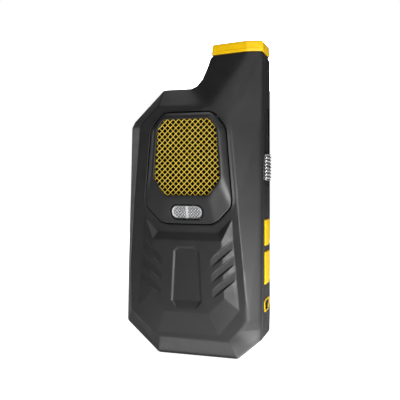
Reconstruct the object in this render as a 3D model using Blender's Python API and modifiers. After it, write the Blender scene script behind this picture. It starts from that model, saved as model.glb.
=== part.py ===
"""Handheld GPS unit with a stub antenna, built as an assembly of separate pieces.

Frame: +Z runs up towards the antenna, -Y is the grip side with the loudspeaker,
+Y is the display side, +X is the side with the buttons.  z = 0 is the bottom end.
"""
import bpy
import bmesh
from math import cos, pi, radians, sin
from mathutils import Matrix, Vector

MM = 0.001
GAP = 0.3 * MM

# Depth layers, as Y positions
PLATEAU_Y = -14.0 * MM
POD_FACE_Y = -17.0 * MM
POD_FOOT_Y = PLATEAU_Y - 0.4 * MM
POD_BACK_Y = PLATEAU_Y + 2.4 * MM
POD_LEDGE_Y = POD_FACE_Y + 1.0 * MM
GRILLE_THICKNESS = 0.6 * MM
CLEAR_THROUGH = 1.0 * MM
PANEL_FACE_Y = -16.0 * MM
SPLIT_Y = 11.0 * MM
SPLIT_HALF_GAP = 0.5 * MM
DISPLAY_EDGE_Y = 13.0 * MM
DISPLAY_FACE_Y = 15.7 * MM
KEY_FACE_Y = 17.0 * MM
WALL = 2.0 * MM

# Antenna stub
STUB_TOP_Z = 155.0 * MM
CAP_TOP_Z = 161.0 * MM

# Casing centre lines
CASE_X = -0.35 * MM
POD_X = -0.95 * MM
PANEL_X = -1.2 * MM

# Side controls on the +X face
SIDE_X = 35.4 * MM
BUTTON_FACE_X = 36.7 * MM
BUTTON_TRAVEL = 0.7 * MM
BUTTON_FLANGE = 0.8 * MM
SIDE_WALL_X = SIDE_X - WALL - 0.6 * MM
SWITCH_DEPTH = 1.6 * MM
BUTTON_Y = (-1.6 * MM, 9.6 * MM)
BUTTON_SPANS = {"upper": (58.0 * MM, 71.2 * MM), "lower": (38.2 * MM, 55.0 * MM)}
SLOT_Z = (90.0 * MM, 127.0 * MM)
SLOT_Y = (2.6 * MM, 7.2 * MM)
KNOB_Z = (91.0 * MM, 104.5 * MM)
KNOB_Y = (-1.2 * MM, 10.0 * MM)
KNURL_PITCH = 1.7 * MM
PIN_RADIUS = 0.9 * MM
PORT_Y = 3.4 * MM
PORT_Z = 27.3 * MM
PORT_HALF = (6.2 * MM, 3.2 * MM)
SOCKET_HALF = (4.9 * MM, 1.9 * MM)
SOCKET_BACK_X = SIDE_X - 8.5 * MM
SOCKET_MOUTH_X = SIDE_X - 0.6 * MM
SOCKET_METAL = 0.35 * MM

# Loudspeaker
SPEAKER_Z = 103.0 * MM
SPEAKER_RADIUS = 15.5 * MM
GRILLE_PITCH = 4.2 * MM
GRILLE_WIRE = 0.9 * MM
GRILLE_BORDER = 0.6 * MM

# Display side
SCREEN_Z = (72.0 * MM, 126.0 * MM)
SCREEN_HALF_WIDTH = 22.0 * MM
PANE_THICKNESS = 1.2 * MM
SEAL_THICKNESS = 0.5 * MM
KEYPAD_Z = 42.0 * MM
KEY_TRAVEL = 0.8 * MM
KEY_FLANGE = 0.9 * MM
# Screw bosses: x, z and the depth at which each boss leaves the front wall
SCREW_PLACES = ((-27.0, 114.0, -11.4), (26.0, 114.0, -9.0), (-26.6, 24.0, -12.5),
                (25.0, 20.0, -12.5))
BOSS_RADIUS = 2.4 * MM
SCREW_SINK = 0.9 * MM


def clear_scene():
    for item in list(bpy.data.objects):
        bpy.data.objects.remove(item, do_unlink=True)


clear_scene()
PARTS = bpy.data.collections.new("handheld_gps_unit")
CUTTERS = bpy.data.collections.new("cutters")
bpy.context.scene.collection.children.link(PARTS)
bpy.context.scene.collection.children.link(CUTTERS)


# ------------------------------------------------------------------ materials
def material(name, colour, roughness, metallic=0.0):
    made = bpy.data.materials.new(name)
    made.use_nodes = True
    shader = made.node_tree.nodes["Principled BSDF"]
    shader.inputs["Base Color"].default_value = (*colour, 1.0)
    shader.inputs["Roughness"].default_value = roughness
    shader.inputs["Metallic"].default_value = metallic
    return made


CASE = material("case_plastic", (0.028, 0.028, 0.030), 0.55)
POD = material("pod_plastic", (0.030, 0.030, 0.032), 0.42)
YELLOW = material("yellow_plastic", (0.90, 0.55, 0.01), 0.38)
GOLD = material("gold_mesh", (0.83, 0.55, 0.08), 0.32, 1.0)
CHROME = material("chrome", (0.75, 0.75, 0.76), 0.15, 1.0)
STEEL = material("steel", (0.55, 0.55, 0.56), 0.35, 1.0)
RUBBER = material("seal_rubber", (0.015, 0.015, 0.015), 0.85)
KEYS = material("key_rubber", (0.045, 0.045, 0.048), 0.60)
BOARD = material("circuit_board", (0.02, 0.12, 0.05), 0.45)
CERAMIC = material("ceramic", (0.75, 0.68, 0.55), 0.50)
COPPER = material("copper", (0.80, 0.38, 0.18), 0.30, 1.0)
CELL = material("battery_wrap", (0.10, 0.16, 0.30), 0.40)
GLASS = material("display_glass", (0.02, 0.02, 0.025), 0.05)
LENS = material("lamp_lens_clear", (0.90, 0.91, 0.92), 0.12)
LED = material("led_white", (0.95, 0.93, 0.80), 0.30)
CLOTH = material("speaker_cloth", (0.01, 0.01, 0.01), 0.95)
PAPER = material("cone_paper", (0.06, 0.055, 0.05), 0.80)


# -------------------------------------------------------------------- helpers
def plan(*points):
    """Points given in millimetres, as metres."""
    return [tuple(value * MM for value in point) for point in points]


def place(bm, name, finish, cutter=False):
    """Turn a bmesh into an object with outward faces, in the parts or the cutters."""
    bmesh.ops.recalc_face_normals(bm, faces=bm.faces)
    mesh = bpy.data.meshes.new(name)
    bm.to_mesh(mesh)
    bm.free()
    item = bpy.data.objects.new(name, mesh)
    if cutter:
        item.hide_render = True
        item.display_type = "WIRE"
        CUTTERS.objects.link(item)
    else:
        mesh.materials.append(finish)
        PARTS.objects.link(item)
    return item


def box(name, low, high, finish=None, cutter=False):
    bm = bmesh.new()
    bmesh.ops.create_cube(bm, size=1.0)
    size = Vector(high) - Vector(low)
    centre = (Vector(high) + Vector(low)) / 2
    bmesh.ops.transform(bm, matrix=Matrix.LocRotScale(centre, None, size), verts=bm.verts)
    return place(bm, name, finish, cutter)


def rod(name, start, end, radius, finish=None, cutter=False, sides=24):
    bm = bmesh.new()
    line = Vector(end) - Vector(start)
    turn = line.to_track_quat("Z", "Y")
    middle = (Vector(start) + Vector(end)) / 2
    bmesh.ops.create_cone(bm, cap_ends=True, segments=sides, radius1=radius, radius2=radius,
                          depth=line.length, matrix=Matrix.LocRotScale(middle, turn, None))
    item = place(bm, name, finish, cutter)
    item.data.shade_smooth()
    item.data.set_sharp_from_angle(angle=radians(40))
    return item


AXES = {
    "X": Matrix(((0, 0, 1), (1, 0, 0), (0, 1, 0))),
    "Y": Matrix(((1, 0, 0), (0, 0, -1), (0, 1, 0))),
    "Z": Matrix.Identity(3),
}


def plate(name, outline, low, high, finish=None, axis="Y", holes=(), cutter=False):
    """A flat outline with holes, extruded along an axis from low to high."""
    curve = bpy.data.curves.new(name, "CURVE")
    curve.dimensions = "2D"
    curve.fill_mode = "BOTH"
    curve.extrude = (high - low) / 2
    for points in (outline, *holes):
        spline = curve.splines.new("POLY")
        spline.points.add(len(points) - 1)
        for spot, (across, up) in zip(spline.points, points):
            spot.co = (across, up, 0.0, 1.0)
        spline.use_cyclic_u = True
    shape = bpy.data.objects.new(name + "_outline", curve)
    middle = (low + high) / 2
    offset = {"X": (middle, 0, 0), "Y": (0, middle, 0), "Z": (0, 0, middle)}[axis]
    shape.matrix_world = Matrix.Translation(offset) @ AXES[axis].to_4x4()
    bpy.context.scene.collection.objects.link(shape)
    bpy.context.view_layer.update()
    evaluated = shape.evaluated_get(bpy.context.evaluated_depsgraph_get())
    mesh = bpy.data.meshes.new_from_object(evaluated)
    mesh.transform(shape.matrix_world)
    bm = bmesh.new()
    bm.from_mesh(mesh)
    bmesh.ops.remove_doubles(bm, verts=bm.verts, dist=0.00001)
    bpy.data.objects.remove(shape, do_unlink=True)
    bpy.data.meshes.remove(mesh)
    return place(bm, name, finish, cutter)


def turned(name, profile, centre, finish, steps=32):
    """A closed profile of (radius, height) turned about an axis that points to -Y.

    An edge that lies on the axis is left out, so the turned surface stays clean there.
    """
    bm = bmesh.new()
    spots = [bm.verts.new((radius, 0, height)) for radius, height in profile]
    for first, second in zip(spots, spots[1:] + spots[:1]):
        if first.co.x > 0 or second.co.x > 0:
            bm.edges.new((first, second))
    mesh = bpy.data.meshes.new(name)
    bm.to_mesh(mesh)
    bm.free()
    mesh.materials.append(finish)
    item = bpy.data.objects.new(name, mesh)
    item.location = centre
    item.rotation_euler = (pi / 2, 0, 0)
    PARTS.objects.link(item)
    screw = item.modifiers.new("turn", "SCREW")
    screw.axis = "Z"
    screw.steps = steps
    screw.render_steps = steps
    screw.use_merge_vertices = True
    screw.merge_threshold = 0.00001
    return item


def hull(name, points, finish=None, cutter=False):
    """The convex solid around a few points."""
    bm = bmesh.new()
    for point in points:
        bm.verts.new(point)
    result = bmesh.ops.convex_hull(bm, input=bm.verts)
    inner = [item for item in result["geom_interior"] if isinstance(item, bmesh.types.BMVert)]
    bmesh.ops.delete(bm, geom=inner, context="VERTS")
    bmesh.ops.dissolve_limit(bm, angle_limit=radians(0.2), verts=bm.verts, edges=bm.edges)
    return place(bm, name, finish, cutter)


def loft(name, rings, finish):
    """A closed solid through rings of equally many points."""
    bm = bmesh.new()
    rows = [[bm.verts.new(point) for point in ring] for ring in rings]
    for first, second in zip(rows, rows[1:]):
        count = len(first)
        for here in range(count):
            after = (here + 1) % count
            bm.faces.new((first[here], first[after], second[after], second[here]))
    bm.faces.new(rows[0])
    bm.faces.new(rows[-1])
    return place(bm, name, finish)


def boolean(item, cutter, operation="DIFFERENCE"):
    step = item.modifiers.new(operation.lower() + "_" + cutter.name, "BOOLEAN")
    step.operation = operation
    step.solver = "EXACT"
    step.object = cutter
    return step


def rounded(item, width, segments=2, angle=40):
    step = item.modifiers.new("rounded_edges", "BEVEL")
    step.width = width
    step.segments = segments
    step.limit_method = "ANGLE"
    step.angle_limit = radians(angle)
    return step


def rounded_rectangle(centre, half_width, half_height, radius, steps=4):
    outline = []
    for corner, (side, level) in enumerate(((1, 1), (-1, 1), (-1, -1), (1, -1))):
        for step in range(steps + 1):
            angle = (corner + step / steps) * pi / 2
            across = centre[0] + side * (half_width - radius) + radius * cos(angle)
            up = centre[1] + level * (half_height - radius) + radius * sin(angle)
            outline.append((across, up))
    return outline


def circle(centre, radius, steps=32):
    return [(centre[0] + radius * cos(2 * pi * step / steps),
             centre[1] + radius * sin(2 * pi * step / steps)) for step in range(steps)]


def inset(outline, distance):
    """Move every edge of a counter-clockwise outline inwards by the distance."""
    count = len(outline)
    moved = []
    for here in range(count):
        before = Vector(outline[here - 1])
        corner = Vector(outline[here])
        after = Vector(outline[(here + 1) % count])
        first = (corner - before).normalized()
        second = (after - corner).normalized()
        normal_one = Vector((-first.y, first.x))
        normal_two = Vector((-second.y, second.x))
        middle = (normal_one + normal_two).normalized()
        moved.append(tuple(corner + middle * (distance / max(middle.dot(normal_one), 0.3))))
    return moved


def at_depth(outline, y):
    return [(x, y, z) for x, z in outline]


# --------------------------------------------------------------------- casing
# Ridge line around the flat of the grip side: x, depth behind the flat, z
RIDGE = plan(
    (-17.0, 0.0, 11.0), (20.0, 0.0, 10.7), (28.5, 0.0, 19.45), (30.3, 0.0, 21.3),
    (24.5, 0.0, 81.0), (20.7, 0.0, 121.7), (27.3, 7.7, 155.0), (7.9, 12.5, 155.0),
    (6.4, 11.4, 149.5), (3.8, 10.2, 143.4), (1.2, 9.9, 140.4), (9.5, 0.0, 128.2),
    (-17.4, 0.0, 128.3), (-25.2, 0.0, 120.8), (-26.9, 0.0, 118.0), (-30.2, 0.0, 81.0),
    (-32.2, 0.0, 50.0), (-31.8, 0.0, 24.0))
# Outer edge, where the bevels meet the side walls: x, depth behind the flat, z
RIM = plan(
    (-20.0, 7.5, 0.0), (23.0, 7.5, 0.0), (35.8, 7.6, 11.2), (36.0, 5.2, 20.9),
    (35.8, 8.3, 81.0), (35.4, 9.7, 121.7), (35.4, 9.7, 155.0), (7.3, 13.4, 155.0),
    (5.7, 12.4, 149.5), (3.2, 11.2, 142.9), (0.6, 10.6, 139.7), (-2.2, 9.8, 138.4),
    (-17.3, 9.8, 138.4), (-34.3, 10.0, 122.2), (-36.1, 10.0, 118.9), (-36.4, 8.2, 81.0),
    (-36.6, 6.2, 50.0), (-36.6, 4.6, 16.6))
STUB_START = 5
STUB_END = 11
CORNERS = len(RIM)


def ridge_point(index):
    x, depth, z = RIDGE[index]
    return (x, PLATEAU_Y + depth, z)


def rim_point(index):
    x, depth, z = RIM[index]
    return (x, PLATEAU_Y + depth, z)


RIM_OUTLINE = [(x, z) for x, depth, z in RIM]


def solidified(item):
    step = item.modifiers.new("wall", "SOLIDIFY")
    step.thickness = WALL
    step.offset = -1.0
    step.use_even_offset = True
    step.use_quality_normals = True


def rear_shell():
    """Grip-side shell: flat, bevels and side walls as one open surface, thickened."""
    bm = bmesh.new()
    ridge = [bm.verts.new(ridge_point(index)) for index in range(CORNERS)]
    rim = [bm.verts.new(rim_point(index)) for index in range(CORNERS)]
    edge_y = SPLIT_Y - SPLIT_HALF_GAP
    skirt = [bm.verts.new((x, edge_y, z)) for x, z in RIM_OUTLINE]
    flat = ridge[:STUB_START + 1] + ridge[STUB_END:]
    bm.faces.new(flat)
    for index in range(STUB_START, STUB_END - 1):
        bm.faces.new((ridge[STUB_END], ridge[index], ridge[index + 1]))
    for first, second in ((ridge, rim), (rim, skirt)):
        for here in range(CORNERS):
            after = (here + 1) % CORNERS
            bm.faces.new((first[here], first[after], second[after], second[here]))
    shell = place(bm, "rear_shell", CASE)
    solidified(shell)
    return shell


def front_shell():
    """Display-side shell, a shallow tray that closes the grip-side shell."""
    bm = bmesh.new()
    edge_y = SPLIT_Y + SPLIT_HALF_GAP
    skirt = [bm.verts.new(point) for point in at_depth(RIM_OUTLINE, edge_y)]
    shoulder = [bm.verts.new(point) for point in at_depth(RIM_OUTLINE, DISPLAY_EDGE_Y)]
    face = [bm.verts.new(point) for point in at_depth(inset(RIM_OUTLINE, 2.6 * MM), DISPLAY_FACE_Y)]
    for first, second in ((skirt, shoulder), (shoulder, face)):
        for here in range(CORNERS):
            after = (here + 1) % CORNERS
            bm.faces.new((first[here], first[after], second[after], second[here]))
    bm.faces.new(face)
    shell = place(bm, "front_shell", CASE)
    solidified(shell)
    return shell


def shell_gasket():
    y = SPLIT_Y
    half = SPLIT_HALF_GAP - GAP
    return plate("shell_gasket", inset(RIM_OUTLINE, 0.5 * MM), y - half, y + half, RUBBER,
                 holes=[inset(RIM_OUTLINE, 1.8 * MM)])


# Section of the stub where the yellow cap sits on it: x, y
STUB_SECTION = [
    (7.35 * MM, PLATEAU_Y + 13.4 * MM), (8.0 * MM, PLATEAU_Y + 12.5 * MM),
    (27.3 * MM, PLATEAU_Y + 7.7 * MM), (35.35 * MM, PLATEAU_Y + 9.7 * MM),
    (35.35 * MM, DISPLAY_EDGE_Y), (32.8 * MM, DISPLAY_FACE_Y),
    (10.0 * MM, DISPLAY_FACE_Y), (7.35 * MM, DISPLAY_EDGE_Y)]


def antenna_cap(rear):
    """Solid cap over the stub, with a spigot that plugs the top of the grip-side shell."""
    low = STUB_TOP_Z + GAP
    rings = [[(x, y, low) for x, y in STUB_SECTION],
             [(x + 0.5 * MM if x < 20 * MM else x - 0.2 * MM, y, CAP_TOP_Z - 1.4 * MM)
              for x, y in STUB_SECTION],
             [(x, y, CAP_TOP_Z) for x, y in inset(STUB_SECTION, 1.3 * MM)]]
    cap = loft("antenna_cap", rings, YELLOW)
    hole = ((14.0 * MM, 1.5 * MM, 148.0 * MM), (30.0 * MM, 8.5 * MM, 158.0 * MM))
    boolean(rear, box("stub_opening", *hole, cutter=True))
    spigot_low = (hole[0][0] + GAP, hole[0][1] + GAP, 151.0 * MM)
    spigot_high = (hole[1][0] - GAP, hole[1][1] - GAP, 157.0 * MM)
    boolean(cap, box("cap_spigot", spigot_low, spigot_high, cutter=True), "UNION")


# ----------------------------------------------------------------- grip panel
def panel_points(points, y):
    """Points (half width from the panel's centre line, z), mirrored to both sides."""
    return [(PANEL_X + side * x, y, z) for x, z in points for side in (1, -1)]


PANEL_FOOT = plan((16.0, 65.0), (23.8, 61.0), (27.0, 26.5), (16.3, 13.6))
PANEL_TOP = plan((18.2, 61.2), (19.7, 33.0), (11.8, 24.7))
PANEL_HORN = plan((23.2, 72.3), (23.8, 61.0), (16.0, 65.0))
GROOVE_OUTER = plan((23.7, 61.9), (24.3, 57.9))
GROOVE_INNER = plan((12.4, 51.7), (12.9, 47.9))
GROOVE_STEP = (0.7 * MM, -7.7 * MM)
PLATE_EDGE = plan((4.7, 57.7), (6.7, 56.0), (8.0, 30.6), (5.0, 26.6))
PLATE_SLOPE = 0.6 * MM
PLATE_DEPTH = 0.6 * MM
PANEL_MIDDLE_Z = 43.0 * MM


def grip_panel(shell):
    """Raised facetted panel with three sloping grooves at each side and a sunk plate."""
    buried = PLATEAU_Y + 0.8 * MM
    main = (panel_points(PANEL_FOOT, buried) + panel_points(PANEL_FOOT, PLATEAU_Y)
            + panel_points(PANEL_TOP, PANEL_FACE_Y))
    boolean(shell, hull("panel_body", main, cutter=True), "UNION")
    for side, label in ((1, "right"), (-1, "left")):
        horn = [(PANEL_X + side * x, y, z) for x, z in PANEL_HORN for y in (buried, PLATEAU_Y)]
        tip_x, tip_z = PANEL_TOP[0]
        horn.append((PANEL_X + side * tip_x, PANEL_FACE_Y, tip_z))
        boolean(shell, hull("panel_horn_" + label, horn, cutter=True), "UNION")
        for row in range(3):
            cutter = []
            for x, z in GROOVE_OUTER:
                across = PANEL_X + side * (x + row * GROOVE_STEP[0])
                up = z + row * GROOVE_STEP[1]
                cutter += [(across, PLATEAU_Y - 0.05 * MM, up), (across, PANEL_FACE_Y - 2 * MM, up)]
            for x, z in GROOVE_INNER:
                across = PANEL_X + side * (x + row * GROOVE_STEP[0] * 0.6)
                up = z + row * GROOVE_STEP[1]
                cutter += [(across, PANEL_FACE_Y, up), (across, PANEL_FACE_Y - 2 * MM, up)]
            name = "groove_%s_%d" % (label, row + 1)
            boolean(shell, hull(name, cutter, cutter=True))
    boolean(shell, sunk_plate())


def sunk_plate():
    """Shallow tray with sloping edges whose floor runs out to nothing at its lower end."""
    points = []
    for x, z in PLATE_EDGE[:-1]:
        inner_z = z - PLATE_SLOPE if z > PANEL_MIDDLE_Z else z
        for side in (1, -1):
            points.append((PANEL_X + side * (x - PLATE_SLOPE), PANEL_FACE_Y + PLATE_DEPTH, inner_z))
            points.append((PANEL_X + side * (x + PLATE_SLOPE), PANEL_FACE_Y - PLATE_DEPTH,
                           2 * z - inner_z))
    x, z = PLATE_EDGE[-1]
    for side in (1, -1):
        points.append((PANEL_X + side * x, PANEL_FACE_Y, z))
    return hull("sunk_plate", points, cutter=True)


# ---------------------------------------------------------------- speaker pod
POD_FOOT = plan((13.4, 125.5), (19.9, 117.0), (23.0, 82.0), (22.6, 78.0), (14.2, 69.0))
POD_FACE = plan((12.2, 123.2), (17.0, 117.0), (18.6, 94.0), (17.0, 89.0), (11.5, 81.8))
MESH_EDGE = plan((12.2, 121.7), (15.5, 116.5), (17.4, 91.8), (11.6, 83.6))
LENS_CENTRE = (POD_X - 0.2 * MM, 75.2 * MM)
LENS_HALF = (8.3 * MM, 3.5 * MM)


def mirrored(half, centre):
    """Closed counter-clockwise outline from its right half, given from top to bottom."""
    right = [(centre + x, z) for x, z in reversed(half)]
    left = [(centre - x, z) for x, z in half]
    return right + left


def slope_y(z):
    """Depth of the pod's lower slope at a height."""
    top_z = 81.8 * MM
    foot_z = 69.0 * MM
    return POD_FACE_Y + (POD_FOOT_Y - POD_FACE_Y) * (top_z - z) / (top_z - foot_z)


def speaker_pod(shell):
    """Raised bezel in an opening of the grip-side shell; holds the grille and the lamp."""
    foot = mirrored(POD_FOOT, POD_X)
    face = mirrored(POD_FACE, POD_X)
    boolean(shell, plate("pod_opening", foot, PLATEAU_Y - 2 * MM, PLATEAU_Y + 4 * MM, cutter=True))
    edge = inset(foot, GAP)
    rings = [at_depth(edge, POD_BACK_Y), at_depth(edge, POD_FOOT_Y), at_depth(face, POD_FACE_Y)]
    pod = loft("speaker_pod", rings, POD)
    mesh_edge = mirrored(MESH_EDGE, POD_X)
    boolean(pod, plate("mesh_opening", mesh_edge, POD_FACE_Y - CLEAR_THROUGH,
                       POD_BACK_Y + CLEAR_THROUGH, cutter=True))
    boolean(pod, plate("mesh_rebate", inset(mesh_edge, -GRILLE_BORDER - GAP), POD_LEDGE_Y,
                       POD_BACK_Y + CLEAR_THROUGH, cutter=True))
    lens_outline = rounded_rectangle(LENS_CENTRE, LENS_HALF[0] + GAP, LENS_HALF[1] + GAP,
                                     LENS_HALF[1], 5)
    boolean(pod, plate("lens_opening", lens_outline, POD_FACE_Y - CLEAR_THROUGH,
                       POD_BACK_Y + CLEAR_THROUGH, cutter=True))


def grille_mesh():
    """Diamond mesh panel with a flat border, seated in the pod's rebate."""
    edge = mirrored(MESH_EDGE, POD_X)
    border = inset(edge, -GRILLE_BORDER)
    inner = inset(edge, 0.25 * MM)
    low_z = min(z for x, z in inner)
    high_z = max(z for x, z in inner)
    half = GRILLE_PITCH / 2
    reach = half - GRILLE_WIRE / 2 * 2 ** 0.5
    holes = []
    for row in range(-24, 25):
        for column in range(-10, 11):
            x = POD_X + column * GRILLE_PITCH + (row % 2) * half
            z = (low_z + high_z) / 2 + row * half
            diamond = [(x + reach, z), (x, z + reach), (x - reach, z), (x, z - reach)]
            if all(inside(inner, corner) for corner in diamond):
                holes.append(diamond)
    front = POD_LEDGE_Y + GAP
    plate("grille_mesh", border, front, front + GRILLE_THICKNESS, GOLD, holes=holes)


def inside(outline, point):
    """True where the point is within a convex counter-clockwise outline."""
    for first, second in zip(outline, outline[1:] + outline[:1]):
        edge = (second[0] - first[0], second[1] - first[1])
        reach = (point[0] - first[0], point[1] - first[1])
        if edge[0] * reach[1] - edge[1] * reach[0] <= 0:
            return False
    return True


def lamp():
    """Two-cell lamp window on the pod's slope, with reflector, board and LED behind it."""
    outline = rounded_rectangle(LENS_CENTRE, LENS_HALF[0], LENS_HALF[1], LENS_HALF[1] - GAP, 5)
    low_z = LENS_CENTRE[1] - LENS_HALF[1]
    high_z = LENS_CENTRE[1] + LENS_HALF[1]
    lens = plate("lamp_lens", outline, POD_FACE_Y - 0.5 * MM, POD_BACK_Y, LENS)
    above = [(-30 * MM, slope_y(high_z + 5 * MM) + 0.1 * MM, high_z + 5 * MM),
             (-30 * MM, slope_y(low_z - 5 * MM) + 0.1 * MM, low_z - 5 * MM),
             (-30 * MM, POD_FACE_Y - 6 * MM, low_z - 5 * MM),
             (-30 * MM, POD_FACE_Y - 6 * MM, high_z + 5 * MM)]
    wedge = [(x + step, y, z) for x, y, z in above for step in (0, 60 * MM)]
    boolean(lens, hull("lens_face_trim", wedge, cutter=True))
    x, z = LENS_CENTRE
    tray_low = POD_BACK_Y + GAP
    tray = box("lamp_reflector", (x - 8.0 * MM, tray_low, z - 3.6 * MM),
               (x + 8.0 * MM, tray_low + 3.0 * MM, z + 3.6 * MM), CHROME)
    boolean(tray, box("reflector_bowl", (x - 7.2 * MM, tray_low - 1 * MM, z - 2.9 * MM),
                      (x + 7.2 * MM, tray_low + 2.2 * MM, z + 2.9 * MM), cutter=True))
    box("lamp_led", (x - 0.8 * MM, tray_low + 1.1 * MM, z - 2.0 * MM),
        (x + 0.8 * MM, tray_low + 1.9 * MM, z + 2.0 * MM), LED)
    box("lamp_board", (x - 9.0 * MM, tray_low + 3.0 * MM + GAP, z - 4.2 * MM),
        (x + 9.0 * MM, tray_low + 4.0 * MM + GAP, z + 4.2 * MM), BOARD)


def loudspeaker():
    """Frame, cone and magnet of the loudspeaker, turned about one axis."""
    centre = (POD_X, POD_BACK_Y + GAP, SPEAKER_Z)
    radius = SPEAKER_RADIUS
    basket = [(radius, 0.0), (radius, -1.2 * MM), (9.5 * MM, -5.0 * MM), (8.0 * MM, -5.0 * MM),
              (8.0 * MM, -4.2 * MM), (radius - 1.6 * MM, -0.4 * MM), (radius - 1.6 * MM, 0.0)]
    turned("speaker_frame", basket, centre, STEEL)
    cone = [(radius - 2.0 * MM, 0.0), (7.6 * MM, -3.6 * MM), (4.0 * MM, -2.4 * MM), (0.0, -2.0 * MM),
            (0.0, -1.5 * MM), (4.0 * MM, -1.8 * MM), (7.4 * MM, -2.9 * MM),
            (radius - 3.0 * MM, 0.0)]
    turned("speaker_cone", cone, centre, PAPER)
    magnet = [(9.0 * MM, -5.0 * MM - GAP), (9.0 * MM, -9.0 * MM), (0.0, -9.0 * MM),
              (0.0, -5.0 * MM - GAP)]
    turned("speaker_magnet", magnet, centre, STEEL)
    edge = mirrored(MESH_EDGE, POD_X)
    cloth_front = POD_LEDGE_Y + GRILLE_THICKNESS + 2 * GAP
    plate("grille_cloth", inset(edge, -0.5 * MM), cloth_front, cloth_front + 0.4 * MM, CLOTH)


# --------------------------------------------------------------- inner pieces
BOARD_Y = (3.4 * MM, 4.6 * MM)
CELL_LOW = Vector((-22.0, -9.2, 14.0)) * MM
CELL_HIGH = Vector((19.5, 0.0, 62.0)) * MM
TRAY_RIM_Y = -4.0 * MM
TRAY_WALL = 1.3 * MM
TRAY_FLOOR = 1.1 * MM
STUB_AERIAL_X = 24.0 * MM
STUB_AERIAL_Y = 5.0 * MM
STUB_AERIAL_Z = (124.0 * MM, 150.0 * MM)
STUB_AERIAL_RADIUS = 2.2 * MM
COIL_START_Z = 126.5 * MM
COIL_PITCH = 3.4 * MM
COIL_TURNS = 6
COIL_WIRE_RADIUS = 0.4 * MM


def electronics():
    """Main board with its shield and positioning aerial, and the radio aerial in the stub."""
    outline = plan((-18.0, 6.0), (18.0, 6.0), (29.0, 17.0), (29.0, 110.0), (22.0, 122.0),
                   (-20.0, 122.0), (-29.0, 110.0), (-29.0, 17.0))
    board = plate("main_board", outline, *BOARD_Y, BOARD)
    shield_low = (-16.0 * MM, BOARD_Y[0] - 2.4 * MM, 64.0 * MM)
    box("rf_shield", shield_low, (14.0 * MM, BOARD_Y[0] - GAP, 84.0 * MM), STEEL)
    aerial_low = (-12.0 * MM, BOARD_Y[0] - 4.4 * MM, 119.5 * MM - 18.0 * MM)
    aerial = box("gps_patch_antenna", aerial_low, (6.0 * MM, BOARD_Y[0] - GAP, 119.5 * MM), CERAMIC)
    rounded(aerial, 0.6 * MM, 1)
    foot, tip = (Vector((STUB_AERIAL_X, STUB_AERIAL_Y, z)) for z in STUB_AERIAL_Z)
    rod("antenna_former", foot, tip, STUB_AERIAL_RADIUS, PAPER)
    coil = bpy.data.curves.new("antenna_coil", "CURVE")
    coil.dimensions = "3D"
    coil.bevel_depth = COIL_WIRE_RADIUS
    coil.bevel_resolution = 1
    coil.use_fill_caps = True
    per_turn = 10
    radius = STUB_AERIAL_RADIUS + GAP + COIL_WIRE_RADIUS
    spline = coil.splines.new("POLY")
    spline.points.add(COIL_TURNS * per_turn)
    for index, spot in enumerate(spline.points):
        angle = 2 * pi * index / per_turn
        height = COIL_START_Z + index / per_turn * COIL_PITCH
        spot.co = (STUB_AERIAL_X + radius * cos(angle), STUB_AERIAL_Y + radius * sin(angle),
                   height, 1.0)
    coil.materials.append(COPPER)
    PARTS.objects.link(bpy.data.objects.new("antenna_coil", coil))
    return board


def power():
    """Flat rechargeable cell behind the grip panel, on a tray with a rim."""
    cell = box("battery_cell", CELL_LOW, CELL_HIGH, CELL)
    rounded(cell, 1.2 * MM, 2)
    rim = GAP + TRAY_WALL
    tray = box("battery_tray", (CELL_LOW.x - rim, TRAY_RIM_Y, CELL_LOW.z - rim),
               (CELL_HIGH.x + rim, CELL_HIGH.y + GAP + TRAY_FLOOR, CELL_HIGH.z + rim), CASE)
    boolean(tray, box("tray_pocket", (CELL_LOW.x - GAP, CELL_LOW.y, CELL_LOW.z - GAP),
                      (CELL_HIGH.x + GAP, CELL_HIGH.y + GAP, CELL_HIGH.z + GAP), cutter=True))


# --------------------------------------------------------------- display side
def display(front):
    """Window in the display-side shell, with its gasket and module behind it."""
    centre = (CASE_X, (SCREEN_Z[0] + SCREEN_Z[1]) / 2)
    half_height = (SCREEN_Z[1] - SCREEN_Z[0]) / 2
    opening = rounded_rectangle(centre, SCREEN_HALF_WIDTH, half_height, 2.5 * MM)
    boolean(front, plate("screen_opening", opening, DISPLAY_FACE_Y - 4 * MM,
                         DISPLAY_FACE_Y + 1 * MM, cutter=True))
    pane_back = DISPLAY_FACE_Y - 0.3 * MM - PANE_THICKNESS
    pane = plate("display_window", inset(opening, GAP), pane_back, pane_back + PANE_THICKNESS, GLASS)
    rounded(pane, 0.3 * MM, 1)
    seal_y = pane_back - GAP
    plate("display_gasket", inset(opening, GAP), seal_y - SEAL_THICKNESS, seal_y, RUBBER,
          holes=[inset(opening, 2.0 * MM)])
    module_y = seal_y - SEAL_THICKNESS - GAP
    edge = inset(opening, 0.6 * MM)
    plate("display_module", edge, module_y - 2.6 * MM, module_y, STEEL)


ZOOM_KEY_HALF = (6.4 * MM, 3.4 * MM)
# Function keys: x, z, half width, half height, in millimetres
KEY_SHAPES = {
    "menu_key": (-15.6, 53.0, 5.4, 3.4), "page_key": (14.9, 53.0, 5.4, 3.4),
    "back_key": (-15.6, 31.0, 5.4, 3.4), "mark_key": (14.9, 31.0, 5.4, 3.4)}


def key_piece(name, front, centre, outline, flange):
    """A key through its own hole in the display-side shell, with a flange behind the wall."""
    wall_back = DISPLAY_FACE_Y - WALL
    boolean(front, plate(name + "_hole", inset(outline, -GAP), wall_back - 2 * MM,
                         DISPLAY_FACE_Y + 1 * MM, cutter=True))
    back = wall_back - GAP - KEY_FLANGE
    key = plate(name, outline, back + 0.1 * MM, KEY_FACE_Y, KEYS)
    rim = plate(name + "_flange", flange, back, wall_back - GAP, cutter=True)
    boolean(key, rim, "UNION")
    centre_key(key, centre)


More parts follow.
